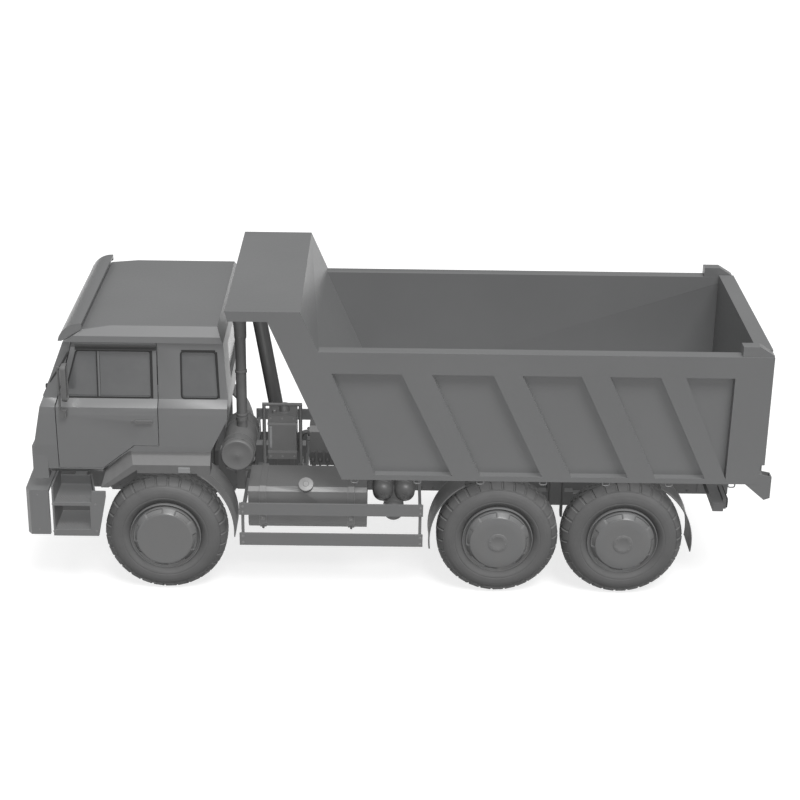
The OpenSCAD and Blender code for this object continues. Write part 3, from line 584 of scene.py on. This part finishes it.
def carcass():
    """Half section of a tyre as (radius, distance from its middle plane). The side follows the profile with
    two fine grooves, and under the shoulder blocks it is lower by the depth of the tread."""
    r = np.concatenate([np.linspace(358, 540, 40), np.linspace(545, 602, 16)])
    side = np.interp(r, *np.array(TYRE_SIDE).T)
    side -= 15 * np.clip((r - 548) / 6, 0, 1)
    for groove in (428, 540):
        side -= 3.0 * np.exp(-(((r - groove) / 3.2) ** 2))
    base = [[598, 60], [598, 0]]
    return np.vstack([[[324, 0], [324, 130], [352, 136]], np.stack([np.minimum(r, 596), side], -1), base])


def lugs(surface, top, depth, half_turn, skew, phase, x, side):
    """Tread blocks all round: a path of (radius, place across) is widened by an angle both ways into
    a six-sided section, and shifted round the wheel in proportion to its place across."""
    t = np.asarray(top, float)
    k = np.arange(PITCHES)
    pitch = 2 * np.pi / PITCHES
    edge = np.array([[-1.10, depth], [-1.0, 4], [-0.90, 0], [0.90, 0], [1.0, 4], [1.10, depth]])
    mid = (t[:, 1] - t[0, 1]) * skew
    a = (k[:, None, None] + phase + mid[None, :, None] + half_turn * edge[None, None, :, 0]) * pitch
    inward = np.gradient(t, axis=0)
    inward = np.stack([-inward[:, 1], inward[:, 0]], -1)
    inward /= np.linalg.norm(inward, axis=1)[:, None]
    if inward[0, 0] > 0:
        inward = -inward
    r = t[None, :, None, 0] + inward[None, :, None, 0] * edge[None, None, :, 1]
    d = t[None, :, None, 1] + inward[None, :, None, 1] * edge[None, None, :, 1]
    r, d = np.broadcast_to(r, a.shape), np.broadcast_to(d, a.shape)
    points = np.stack([x + r * np.cos(a), side * (TYRE_MID + d), HUB_Z + r * np.sin(a)], -1)
    for block in points:
        surface.grid(block)
        surface.add(block[0], [(0, 1, 2, 3, 4, 5)]).add(block[-1], [(5, 4, 3, 2, 1, 0)])
    return surface


SHOULDER = [(613, 64), (612, 80), (604, 98), (588, 121), (568, 143), (553, 156)]
ROWS = (([(613, -56), (613, -22)], 0.010, 0.0), ([(613, -16), (613, 16)], 0.010, 0.5),
        ([(613, 22), (613, 56)], 0.010, 0.0))


def tyre(name, x, side):
    """Carcass turned about the axle, blocks on the shoulders and three rows of slanting blocks between."""
    half = carcass()
    whole = np.vstack([half, half[-2:0:-1] * [1, -1]])
    s = turned(Surface(), whole * [1, side], (x, side * TYRE_MID, HUB_Z), "y", 96, closed=True)
    for flip in SIDES:
        path = np.array(SHOULDER) * [1, flip]
        lugs(s, path, 16, 0.42, 0.0008 * flip, 0.25 if flip > 0 else 0.75, x, side)
    for path, skew, phase in ROWS:
        lugs(s, path, 15, 0.36, skew, phase, x, side)
    piece(name + "_tyre_tread", s, TYRE, BODY_OF[name + "_tyre"], "tyre", (name + "_tyre",), merge=0.01,
          smooth=32)


def rim(name, x, side):
    """Rim barrel with its rolled flanges, a dished cover with six shallow pockets round its bevel,
    a brake drum behind, and on the rear wheels a hub cap with ten bolts."""
    s = Surface()
    barrel = [(300, 850), (352, 850), (355, 853), (355, 878), (350, 884), (328, 889), (324.6, 900),
              (324.6, 1140),
              (328, 1151), (350, 1158), (355, 1164), (356, 1190), (353, 1198), (348, 1201), (343, 1198),
              (340, 1180),
              (304, 1160)]
    turned(s, barrel, (x, 0, HUB_Z), "y", 96, closed=True)
    # Cover: profile of radius and place, pressed in by the pockets where its bevel is
    n = 216
    a = np.linspace(0, 2 * np.pi, n, endpoint=False)
    r = np.array([306, 317, 320.5, 320, 316, 311, 305, 298, 290, 283, 278, 274, 270, 190, 100, 0.0])
    y = np.array([1140, 1150, 1180, 1202, 1210, 1216.5, 1224, 1233, 1243, 1251.5, 1257, 1260.5, 1262, 1262,
                  1262, 1262])
    turn = np.abs(((a / (2 * np.pi) * 6 + 0.35) % 1) - 0.5) * 2
    slot = np.clip((0.60 - turn) / 0.05, 0, 1)
    press = np.where((r < 312) & (r > 280), 1.0, 0.0)
    radius = r[None, :] - 6 * slot[:, None] * press[None, :]
    place = y[None, :] - 10 * slot[:, None] * press[None, :]
    s.grid(np.stack([x + radius * np.cos(a)[:, None], place, HUB_Z + radius * np.sin(a)[:, None]], -1),
           wrap_u=True)
    if name.startswith("front"):
        turned(s, [(0, 1262.5), (262, 1262.5)], (x, 0, HUB_Z), "y", 48)
    else:
        turned(s, [(0, 1266), (52, 1266), (60, 1269), (92, 1269), (98, 1267), (101, 1261)], (x, 0, HUB_Z),
               "y", 60)
        ring = np.arange(10) * 2 * np.pi / 10 + 0.2
        bolts(s, [(x + 76 * math.cos(t), 1269, HUB_Z + 76 * math.sin(t)) for t in ring], "y", 17, 5)
    # Drum, back plate and the barrel's web
    turned(s, [(60, 884), (232, 884), (238, 890), (238, 912), (230, 918), (230, 1040), (222, 1052),
               (150, 1060),
               (150, 1150), (60, 1150)], (x, 0, HUB_Z), "y", 72, closed=True)
    turned(s, [(140, 1120), (309, 1122), (309, 1140), (140, 1146)], (x, 0, HUB_Z), "y", 72, closed=True)
    ring = np.arange(10) * 2 * np.pi / 10
    bolts(s, [(x + 190 * math.cos(t), 1121, HUB_Z + 190 * math.sin(t)) for t in ring], "-y", 40, 26)
    for p in s.points:
        p[:, 1] *= side
    piece(name + "_rim_dish", s, RIM_PAINT, BODY_OF[name + "_rim"], "rim", (name + "_rim",), smooth=26,
          merge=0.02)


for place, axle in AXLES.items():
    for word, side in (("left", 1), ("right", -1)):
        tyre(f"{place}_{word}", axle, side)
        rim(f"{place}_{word}", axle, side)

# ------------------------------------------------------------------ seats


def cushion(name, x, y, z, crown, seams, axis=2):
    """A stuffed block: each point of a rounded box is pushed out by a crown that fades to its edges,
    sides pulled in between the corners, and pressed in along its sewn seams."""
    n, m = 28, 28
    u, v = np.meshgrid(np.linspace(-1, 1, n), np.linspace(-1, 1, m), indexing="ij")
    lift = (1 - u**4) * (1 - v**4)
    groove = sum(np.exp(-(((v - q) / 0.035) ** 2)) for q in seams) if seams else 0 * u
    pull_u, pull_v = 1 - 0.03 * (1 - v**2), 1 - 0.03 * (1 - u**2)
    mid = [(p[0] + p[1]) / 2 for p in (x, y, z)]
    half = [(p[1] - p[0]) / 2 for p in (x, y, z)]
    flat = [i for i in range(3) if i != axis]
    s = Surface()
    for way in SIDES:
        p = np.zeros((n, m, 3))
        soft = 0.86 + 0.14 * np.sqrt(np.clip(1 - np.maximum(abs(u), abs(v)) ** 10, 0, 1))
        p[..., flat[0]] = mid[flat[0]] + half[flat[0]] * u * pull_u * soft
        p[..., flat[1]] = mid[flat[1]] + half[flat[1]] * v * pull_v * soft
        rise = half[axis] * (0.45 + 0.35 * np.sqrt(np.clip(lift, 0, 1)))
        top = rise + (crown * lift - 9 * groove * lift) * (1.0 if way > 0 else 0.2)
        p[..., axis] = mid[axis] + way * np.minimum(top, half[axis])
        s.grid(p)
    edge = lambda g: np.concatenate([g[:, 0], g[-1, 1:], g[-2::-1, -1], g[0, -2:0:-1]])
    rows = np.stack([edge(p.reshape(n, m, 3)) for p in s.points], 0)
    s.grid(rows, wrap_v=True)
    seat = piece(name, s, CLOTH, "cab", "upholstery", merge=0.5, smooth=80)
    more = seat.modifiers.new("softness", "SUBSURF")
    more.levels = more.render_levels = 1
    return seat


for word, side in (("left", 1), ("right", -1)):
    y = sorted((330 * side, 830 * side))
    base = cushion(f"{word}_seat_base", (2352, 2830), y, (1722, 1862), 22, (-0.45, 0.45))
    cushion(f"{word}_seat_back", (2238, 2348), y, (1740, 2230), 18, (-0.4, 0.4), axis=0)
    cushion(f"{word}_headrest", (2246, 2334), sorted((450 * side, 710 * side)), (2245, 2415), 14, (),
            axis=0)
    s = Surface()
    boxed(s, (2400, 2780), sorted((420 * side, 740 * side)), (1590, 1722))
    for q in (500, 660):
        swept(s, [(2290, q * side, 2200), (2290, q * side, 2270)], circle(7, 10))
    piece(f"{word}_seat_frame", s, DARK_PLASTIC, "cab", "dark_plastic", bevel=8)
    if side > 0:
        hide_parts("seats")
cushion("rear_bunk", (1872, 2230), (-1000, 1000), (1592, 1760), 20, (-0.33, 0.33))

# ------------------------------------------------------------------ air tanks

AIR_TANKS = ((140, 1003), (-80, 1003), (30, 790))  # centres in X and Z
s = Surface()
for x, z in AIR_TANKS:
    r = 102.5
    dome = [(r * math.cos(t), 905 + 78 * math.sin(t)) for t in np.linspace(0, math.pi / 2, 12)]
    back = [(r * math.cos(t), 528 - 40 * math.sin(t)) for t in np.linspace(math.pi / 2, 0, 9)]
    turned(s, back + [(r, 560), (r + 2.5, 562), (r + 2.5, 570), (r, 572), (r, 870), (r + 2.5, 872),
                      (r + 2.5, 880),
                      (r, 882)] + dome, (x, 0, z), "y", 48)
    t = np.linspace(0, 2 * math.pi, 40)[:-1]
    out = np.stack([np.cos(t), 0 * t, np.sin(t)], -1)
    for q in (620, 800):
        swept(s, (x, q, z) + 103 * out, flat_bar(34, 3), out, True)
    turned(s, [(0, 1000), (14, 1000), (14, 984), (22, 984), (22, 976)], (x, 0, z), "y", 12)
piece("air_tank_shells", s, TANK_STEEL, "chassis", "metal", ("air_tanks",), smooth=35)
s = Surface()
boxed(s, (-190, 250), (430, 460), (800, 1040))
for x, z in AIR_TANKS:
    boxed(s, (x - 20, x + 20), (459, 560), (z - 30, z + 30))
boxed(s, (10, 50), (432, 460), (760, 811))
piece("air_tank_hanger", s, FRAME_PAINT, "chassis", "chassis_paint", bevel=4)

# ------------------------------------------------------------------ cab


def rim_of(y, z, radius, inset, n=8):
    """A rounded rectangle in Y and Z, drawn in by an inset on every side."""
    y0, y1, z0, z1 = y[0] + inset, y[1] - inset, z[0] + inset, z[1] - inset
    r = max(radius - inset, 4)
    t = np.linspace(0, np.pi / 2, n)
    corners = [(y1 - r, z1 - r, 0), (y0 + r, z1 - r, 1), (y0 + r, z0 + r, 2), (y1 - r, z0 + r, 3)]
    return np.vstack([np.stack([cy + r * np.cos(t + q * np.pi / 2), cz + r * np.sin(t + q * np.pi / 2)], -1)
                      for cy, cz, q in corners])


def shell(surface, y, z, radius, layers):
    """Rounded rectangles lofted along X: each layer is a place in X and an inset; both ends are closed."""
    rings = []
    for x, inset in layers:
        ring = rim_of(y, z, radius, inset)
        rings.append(np.column_stack([np.full(len(ring), float(x)), ring]))
    surface.grid(np.array(rings), wrap_v=True)
    k = len(rings[0])
    return surface.add(rings[0], [tuple(range(k))]).add(rings[-1], [tuple(range(k))[::-1]])


def wall_y(z):
    """Distance of the cab's side from the middle plane at a height above the belt line."""
    return np.interp(z, [1600, 1925, 2004, 2075, 2590, 2647, 2707],
                     [1207, 1207, 1200, 1129, 1085, 1103, 1093])


def screen_x(z):
    """Place of the raked windscreen's outer face at a height."""
    return 3490 - (np.asarray(z, float) - 2010) * 0.381


LEAN = (0, 0.9964, 0.0851)  # outward direction of the leaning side windows
DOOR_WINDOW = [(2405, 2085), (3255, 2085), (3123, 2558), (2405, 2558)]
MIRROR_FACE = ((1228, 1360), (2115, 2490), 40)  # range in Y and in Z, and corner radius
REAR_WINDOW = [(1752, 2084), (2112, 2084), (2112, 2556), (1776, 2556)]


def on_wall(outline, lift=0.0):
    """Points of an outline in X and Z laid on the leaning side of the cab."""
    p = np.asarray(outline, float)
    return np.stack([p[:, 0], wall_y(p[:, 1]) + lift, p[:, 1]], -1)


def sided(surface, side):
    """The surface moved to the other side of the truck when the side is the right one."""
    for p in surface.points:
        p[:, 1] *= side
    return surface


for word, side in (("left", 1), ("right", -1)):
    door = f"{word}_door"
    # Window seals: thin all round, broad along the rear edge, and one on the divider
    s = Surface()
    swept(s, rounded(on_wall(DOOR_WINDOW), 30, closed=True), flat_bar(15, 3.5, 6), LEAN, closed=True)
    swept(s, on_wall([(2398, 2080), (2398, 2563)]), flat_bar(22, 5, 4), LEAN)
    swept(s, on_wall([(2928, 2092), (2928, 2552)]), flat_bar(10, 3, 14), LEAN)
    piece(f"{word}_door_seal", sided(s, side), SEAL, door, "dark_plastic", bevel=1.2)
    s = Surface()
    swept(s, rounded(on_wall(REAR_WINDOW), 34, closed=True), flat_bar(15, 3.5, 6), LEAN, closed=True)
    swept(s, on_wall([(2106, 2563), (1776, 2563)]), flat_bar(22, 5, 4), LEAN)
    swept(s, on_wall([(1768, 2556), (1748, 2090)]), flat_bar(20, 5, 4), LEAN)
    piece(f"{word}_rear_window_seal", sided(s, side), SEAL, "cab", "dark_plastic", bevel=1.2)
    # Rain gutter over the door: two lips with a channel between
    s = Surface()
    for z in (2572, 2607):
        boxed(s, (2350, 3132), (1078, 1108), (z - 4, z + 4))
    boxed(s, (2350, 3132), (1078, 1092), (2572, 2607))
    piece(f"{word}_rain_gutter", sided(s, side), DARK_PLASTIC, door, "dark_plastic", bevel=1.5)
    # Grip of the handle in its shallow cup
    s = Surface()
    grip = np.array([(2392, 1856), (2400, 1846), (2556, 1846), (2566, 1856), (2566, 1872), (2556, 1881),
                     (2400, 1881),
                     (2392, 1872)])
    extruded(s, grip, "y", (1206, 1231))
    turned(s, [(0, 1214), (13, 1214), (15, 1212), (15, 1204)], (2592, 0, 1864), "y", 20)
    piece(f"{word}_door_handle", sided(s, side), PLASTIC, door, "dark_plastic", bevel=5, segments=3)
    # Mirror: lofted housing, its glass, the tube and arms, and the holder on the door
    s = Surface()
    shell(s, *MIRROR_FACE, [(3199, 13), (3192, 11), (3190, 7), (3190, 3), (3194, 0), (3226, 1),
                            (3238, 7), (3244, 20), (3245, 34)])
    swept(s, [(3283, 1240, 1945), (3283, 1240, 2440)], circle(11))
    for z in (2170, 2430):
        swept(s, [(3283, 1240, z), (3236, 1240, z)], circle(8))
        turned(s, [(0, z - 13), (15, z - 13), (16, z - 10), (16, z + 10), (15, z + 13), (0, z + 13)],
               (3283, 1240, 0), "z", 16)
    piece(f"{word}_mirror_housing", sided(s, side), PLASTIC, door, "dark_plastic", (f"{word}_mirror",),
          smooth=32)
    s = Surface()
    boxed(s, (3222, 3292), (1209, 1252), (1913, 1988))
    bolts(s, [(3238, 1252, 1930), (3238, 1252, 1972)], "y", 14, 5)
    piece(f"{word}_mirror_holder", sided(s, side), PLASTIC, door, "dark_plastic", bevel=7, segments=3)
    s = Surface()
    shell(s, *MIRROR_FACE, [(3197.5, 14), (3201, 14)])
    piece(f"{word}_mirror_glass", sided(s, side), MIRROR, door, "glazing")
    # Curved grab arm ahead of the pillar
    s = Surface()
    arm = rounded([(3199, 2539), (3284, 2388), (3368, 2271), (3430, 2153), (3461, 2082)], 60)
    arm = np.stack([arm[:, 0], np.interp(arm[:, 1], [2082, 2300, 2539], [1098, 1112, 1098]), arm[:, 1]], -1)
    swept(s, arm, circle(9, 12))
    piece(f"{word}_pillar_bar", sided(s, side), DARK_PLASTIC, "cab", "dark_plastic", smooth=40)
    # Side lamp on the flare, and beads along the guards' edges
    s = Surface()
    boxed(s, (2038, 2158), (1244, 1262), (1337, 1399))
    piece(f"{word}_flare_lamp", sided(s, side), LENS, "chassis", "glazing", bevel=8, segments=3)
    s = Surface()
    t = np.radians(np.linspace(124, 183, 40))
    swept(s, np.stack([2336 + 723 * np.cos(t), np.full(40, 1250.0), 694 + 723 * np.sin(t)], -1),
          circle(7, 10))
    for x, low, high in ((AXLES["middle"], -8, 60), (AXLES["rear"], 120, 188)):
        t = np.radians(np.linspace(low, high, 44))
        for y in (838.0, 1207.0):
            arc = np.stack([x + GUARD_RADIUS * np.cos(t), np.full(44, y),
                            HUB_Z + GUARD_RADIUS * np.sin(t)], -1)
            swept(s, arc, circle(8, 10))
    piece(f"{word}_guard_beads", sided(s, side), PLASTIC, "chassis", "dark_plastic", smooth=40)

# Windscreen seal and wipers
s = Surface()
corners = np.array([(1020, 2100), (960, 2570), (-960, 2570), (-1020, 2100)], float)
ring = np.stack([screen_x(corners[:, 1]), corners[:, 0], corners[:, 1]], -1)
swept(s, rounded(ring, 60, closed=True), flat_bar(26, 4, 6), (0.9345, 0, 0.356), closed=True)
for y in (760, 120, -520):
    base = np.array([screen_x(2050) + 16, y, 2050.0])
    tip = np.array([screen_x(2150) + 16, y - 330, 2150.0])
    turned(s, [(0, base[0] + 14), (24, base[0] + 12), (27, base[0] - 20)], (0, y, 2050), "x", 18)
    swept(s, [base, tip], [(-7, -4), (7, -4), (5, 5), (-5, 5)], (0.9345, 0, 0.356))
    blade = [(screen_x(2125) + 11, y - 60, 2125), (screen_x(2175) + 11, y - 600, 2175)]
    swept(s, blade, [(-8, -9), (8, -9), (4, 3), (-4, 3)], (0.9345, 0, 0.356))
piece("windscreen_trim", s, SEAL, "cab", "dark_plastic", bevel=1.0)


def front_x(z):
    """Place of the cab's front face at a height below the windscreen."""
    return np.interp(z, [1225, 1640, 2010], [3545, 3560, 3490])


# Grille: a dark bed with slanting slats, in two openings
s = Surface()
for low, high in ((1690, 1930), (1330, 1600)):
    z = np.array([low, high], float)
    bed = [(front_x(z[0]) - 3, z[0]), (front_x(z[0]) + 3, z[0]), (front_x(z[1]) + 3, z[1]),
           (front_x(z[1]) - 3, z[1])]
    extruded(s, bed, "y", (-820, 820))
    for q in np.arange(low + 24, high - 8, 42):
        x = float(front_x(q))
        extruded(s, [(x, q - 12), (x + 16, q - 7), (x + 18, q + 3), (x, q + 10)], "y", (-812, 812))
piece("front_grille", s, DARK_PLASTIC, "cab", "dark_plastic", bevel=2)

# Headlamps: bezel, two round lenses and a long lamp under a clear cover
s = Surface()
for side in SIDES:
    y = sorted((820 * side, 1090 * side))
    shell(s, y, (820, 980), 26, [(3664, 0), (3680, 0), (3684, 3), (3684, 10), (3676, 14), (3671, 16)])
piece("headlamp_bezels", s, DARK_PLASTIC, "chassis", "dark_plastic", ("lamps",), smooth=32)
s = Surface()
for side in SIDES:
    for y in (890, 1018):
        dome = [(54 * math.sin(t), 3671 + 9 * math.cos(t)) for t in np.linspace(0, math.pi / 2, 10)]
        turned(s, [*dome, (58, 3671), (60, 3666)], (0, y * side, 912), "x", 40)
    boxed(s, (3668, 3679), sorted((840 * side, 1070 * side)), (946, 962))
piece("headlamp_lenses", s, LENS, "chassis", "glazing", smooth=30)

# Blank number plates, front and rear, and the rear lamps on the bar
s = Surface()
boxed(s, (3688, 3693), (-260, 260), (700, 812))
boxed(s, (-3486, -3480), (-260, 260), (1020, 1130))
piece("blank_plates", s, LENS, "chassis", "painted", bevel=2)
s = Surface()
for side in SIDES:
    boxed(s, (-3318, -3299), sorted((770 * side, 1090 * side)), (952, 1053))
piece("rear_lamp_frames", s, DARK_PLASTIC, "chassis", "dark_plastic", bevel=5, segments=3)
s = Surface()
for side in SIDES:
    for y in (820, 930, 1040):
        turned(s, [(0, -3327), (22, -3326), (34, -3323), (42, -3318), (44, -3312)], (0, y * side, 1002),
               "x", 32)
piece("rear_lamp_lenses", s, LENS, "chassis", "glazing", smooth=36)

# ------------------------------------------------------------------ behind the cab

# Intake pipe: clamps and a bent mouth
SNORKEL = (1556, 800)  # axis in X and Y
s = Surface()
x, y = SNORKEL
for z in (1742, 1790, 2250, 2618):
    turned(s, [(52, z - 12), (59, z - 12), (60.5, z - 9), (60.5, z + 9), (59, z + 12), (52, z + 12)],
           (x, y, 0), "z", 36)
for z in (1742, 2618):
    boxed(s, (x - 12, x + 12), (y + 56, y + 78), (z - 9, z + 9))
t = np.linspace(0, 1, 12)[:, None]
mouth = np.array([[x, y, 2600]]) * (1 - t) ** 2 + np.array([[x, y, 2770]]) * 2 * t * (1 - t) + np.array(
    [[x + 30, y, 2816]]) * t**2
swept(s, mouth, circle(60, 28))
piece("snorkel_fittings", s, PLASTIC, "chassis", "metal", smooth=34)

# Air cleaner: rings, clips and the dished cover with its nut
CLEANER = (1578, 0, 1504)
s = Surface()
for q in (470, 640, 1010, 1128):
    turned(s, [(160, q - 9), (168, q - 9), (170, q - 6), (170, q + 6), (168, q + 9), (160, q + 9)],
           CLEANER, "y", 64)
turned(s, [(0, 1196), (14, 1196), (15, 1190), (34, 1188), (60, 1182), (120, 1184), (136, 1189), (150, 1189),
           (158, 1182), (163, 1170), (163, 1150)], CLEANER, "y", 64)
for a in (20, 110, 200, 290):
    c, d = math.cos(math.radians(a)), math.sin(math.radians(a))
    x, z = CLEANER[0] + 172 * c, CLEANER[2] + 172 * d
    swept(s, [(x, 1100, z), (x, 1160, z)], flat_bar(26, 7, 4), (c, 0, d))
piece("air_cleaner_fittings", s, PLASTIC, "chassis", "metal", smooth=30)

# Oil tank: filler cap, breather, level gauge, straps and bolts; valve bank under its box
s = Surface()
turned(s, [(0, 1768), (34, 1768), (50, 1762), (54, 1752), (54, 1690), (62, 1686), (62, 1684)],
       (1150, 470, 0), "z", 36)
turned(s, [(0, 1722), (20, 1722), (24, 1716), (24, 1684)], (1252, 520, 0), "z", 20)
for z in (1290, 1600):
    swept(s, [(1020, 604, z), (1317, 604, z)], flat_bar(26, 3, 3), (0, 1, 0))
bolts(s, [(q, 601, z) for q in (1050, 1168, 1288) for z in (1235, 1655)], "y", 18, 7)
piece("oil_tank_fittings", s, ZINC, "chassis", "metal", smooth=30)
s = Surface()
boxed(s, (1272, 1296), (598, 612), (1330, 1570))
bolts(s, [(1284, 612, 1346), (1284, 612, 1554)], "y", 13, 5)
piece("oil_level_gauge", s, LENS, "chassis", "glazing", bevel=4)
s = Surface()
for q in (615, 690, 765, 840):
    boxed(s, (q, q + 50), (429, 470), (1120, 1230))
    turned(s, [(0, 520), (13, 520), (14, 516), (14, 468)], (q + 25, 0, 1150), "y", 16)
    swept(s, rounded([(q + 25, 450, 1120), (q + 25, 470, 1050), (q + 60, 440, 1010), (q + 120, 400, 1020)],
                     40),
          circle(11, 12))
piece("valve_bank", s, CAST_IRON, "chassis", "cast", bevel=3, smooth=34)
# Curved steel pipe of the hoist with its flange
s = Surface()
route = rounded([(900, 330, 1400), (985, 330, 1390), (1010, 300, 1240), (1060, 240, 1120),
                 (1150, 170, 1090)], 70)
swept(s, route, circle(23, 20))
for q in (905, 918):
    turned(s, [(23, q - 6), (46, q - 6), (48, q - 3), (48, q + 3), (46, q + 6), (23, q + 6)],
           (0, 330, 1400), "x", 28)
bolts(s, [(924, 330 + 35 * math.cos(a), 1400 + 35 * math.sin(a)) for a in (0.8, 2.4, 3.9, 5.5)], "x", 12, 8)
piece("hoist_pipe", s, PIPE_STEEL, "chassis", "metal", smooth=40)

# Fuel tank: filler with its cap, strap tensioners and drain plug
s = Surface()
lean = math.radians(40)
ahead, up = np.array([0, math.sin(lean), math.cos(lean)]), np.array([0, math.cos(lean), -math.sin(lean)])
at = np.array([905, 1124, 1164.0])
t = np.linspace(0, 2 * math.pi, 40, endpoint=False)[:, None]
profile = [(60, -40), (60, 0), (73, 2), (76, 6), (76, 20), (72, 25), (30, 27), (26, 31), (0, 31)]
ring = np.stack([at + ahead * d + r * (np.cos(t) * np.array([[1, 0, 0]]) + np.sin(t) * up) for r,
                 d in profile], 1)
s.grid(ring, wrap_u=True)
piece("fuel_filler", s, ZINC, "chassis", "metal", smooth=34)
s = Surface()
for x in (422, 1306):
    for q in (x - 3, x + 66):
        swept(s, [(q, 1160, 756), (q, 1160, 1098)], flat_bar(5, 2, 3), (0, 1, 0))
    turned(s, [(0, 670), (11, 670), (12, 674), (12, 700)], (x + 32, 1098, 0), "z", 12)
    boxed(s, (x + 12, x + 52), (1156, 1172), (792, 832))
    bolts(s, [(x + 32, 1172, 812)], "y", 24, 12)
turned(s, [(0, 676), (20, 676), (22, 680), (22, 694)], (700, 860, 0), "z", 6)
piece("fuel_tank_straps", s, ZINC, "chassis", "metal", smooth=30)

# ------------------------------------------------------------------ bolts, welds and small fittings

s = Surface()
for side in SIDES:
    word = "y" if side > 0 else "-y"
    rows = [(x, side * 430, z) for x in np.arange(-3380, 3400, 120) for z in (826, 974)
            if not any(abs(x - c) < 40 for c in (1810, 3340))]
    bolts(s, rows, word, 20, 9)
    for x in (-1710, -1577):
        swept(s, rounded([(x, side * 452, 1000), (x, side * 452, 560), (x, side * 558, 560),
                          (x, side * 558, 1000)], 50),
              circle(11, 10))
piece("frame_bolts", s, CAST_IRON, "chassis", "cast", smooth=30)
s = Surface()
for side in SIDES:
    word = "y" if side > 0 else "-y"
    bolts(s, [(x, side * 1225, z) for x in (-238, 1534) for z in (906, 968, 570, 640)], word, 22, 8)
    bolts(s, [(x, side * 1245, z) for x in (2990, 3410) for z in (680, 980)], word, 20, 6)
    bolts(s, [(3560, side * 1240, z) for z in (700, 1080)], word, 20, 6)
piece("panel_bolts", s, ZINC, "chassis", "metal", smooth=30)
# Grip studs on the treads of the steps
s = Surface()
for side in SIDES:
    for z in (700, 1000):
        for row, y in enumerate(np.arange(1090, 1236, 24)):
            for x in np.arange(3050 + 14 * (row % 2), 3390, 28):
                turned(s, [(0, z + 4), (5, z + 4), (8, z - 1)], (x, side * y, 0), "z", 8)
piece("step_studs", s, CAB_PAINT, "chassis", "painted", smooth=30)
# Weld bead along the body's lower edge, and lashing hooks
WELD_Y = 1262
s = Surface()
for side in SIDES:
    swept(s, [(-3520, side * WELD_Y, 1303), (520, side * WELD_Y, 1303)], circle(5, 8))
    for x in np.arange(-3300, 500, 620):
        hook = rounded([(x - 34, side * WELD_Y, 1300), (x - 34, side * 1266, 1262),
                        (x + 34, side * 1266, 1262),
                        (x + 34, side * WELD_Y, 1300)], 26)
        swept(s, hook, circle(7, 10))
piece("body_hooks", s, BODY_PAINT, BODY_OF["dump_body"], "painted", smooth=40)

studio()
low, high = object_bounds()
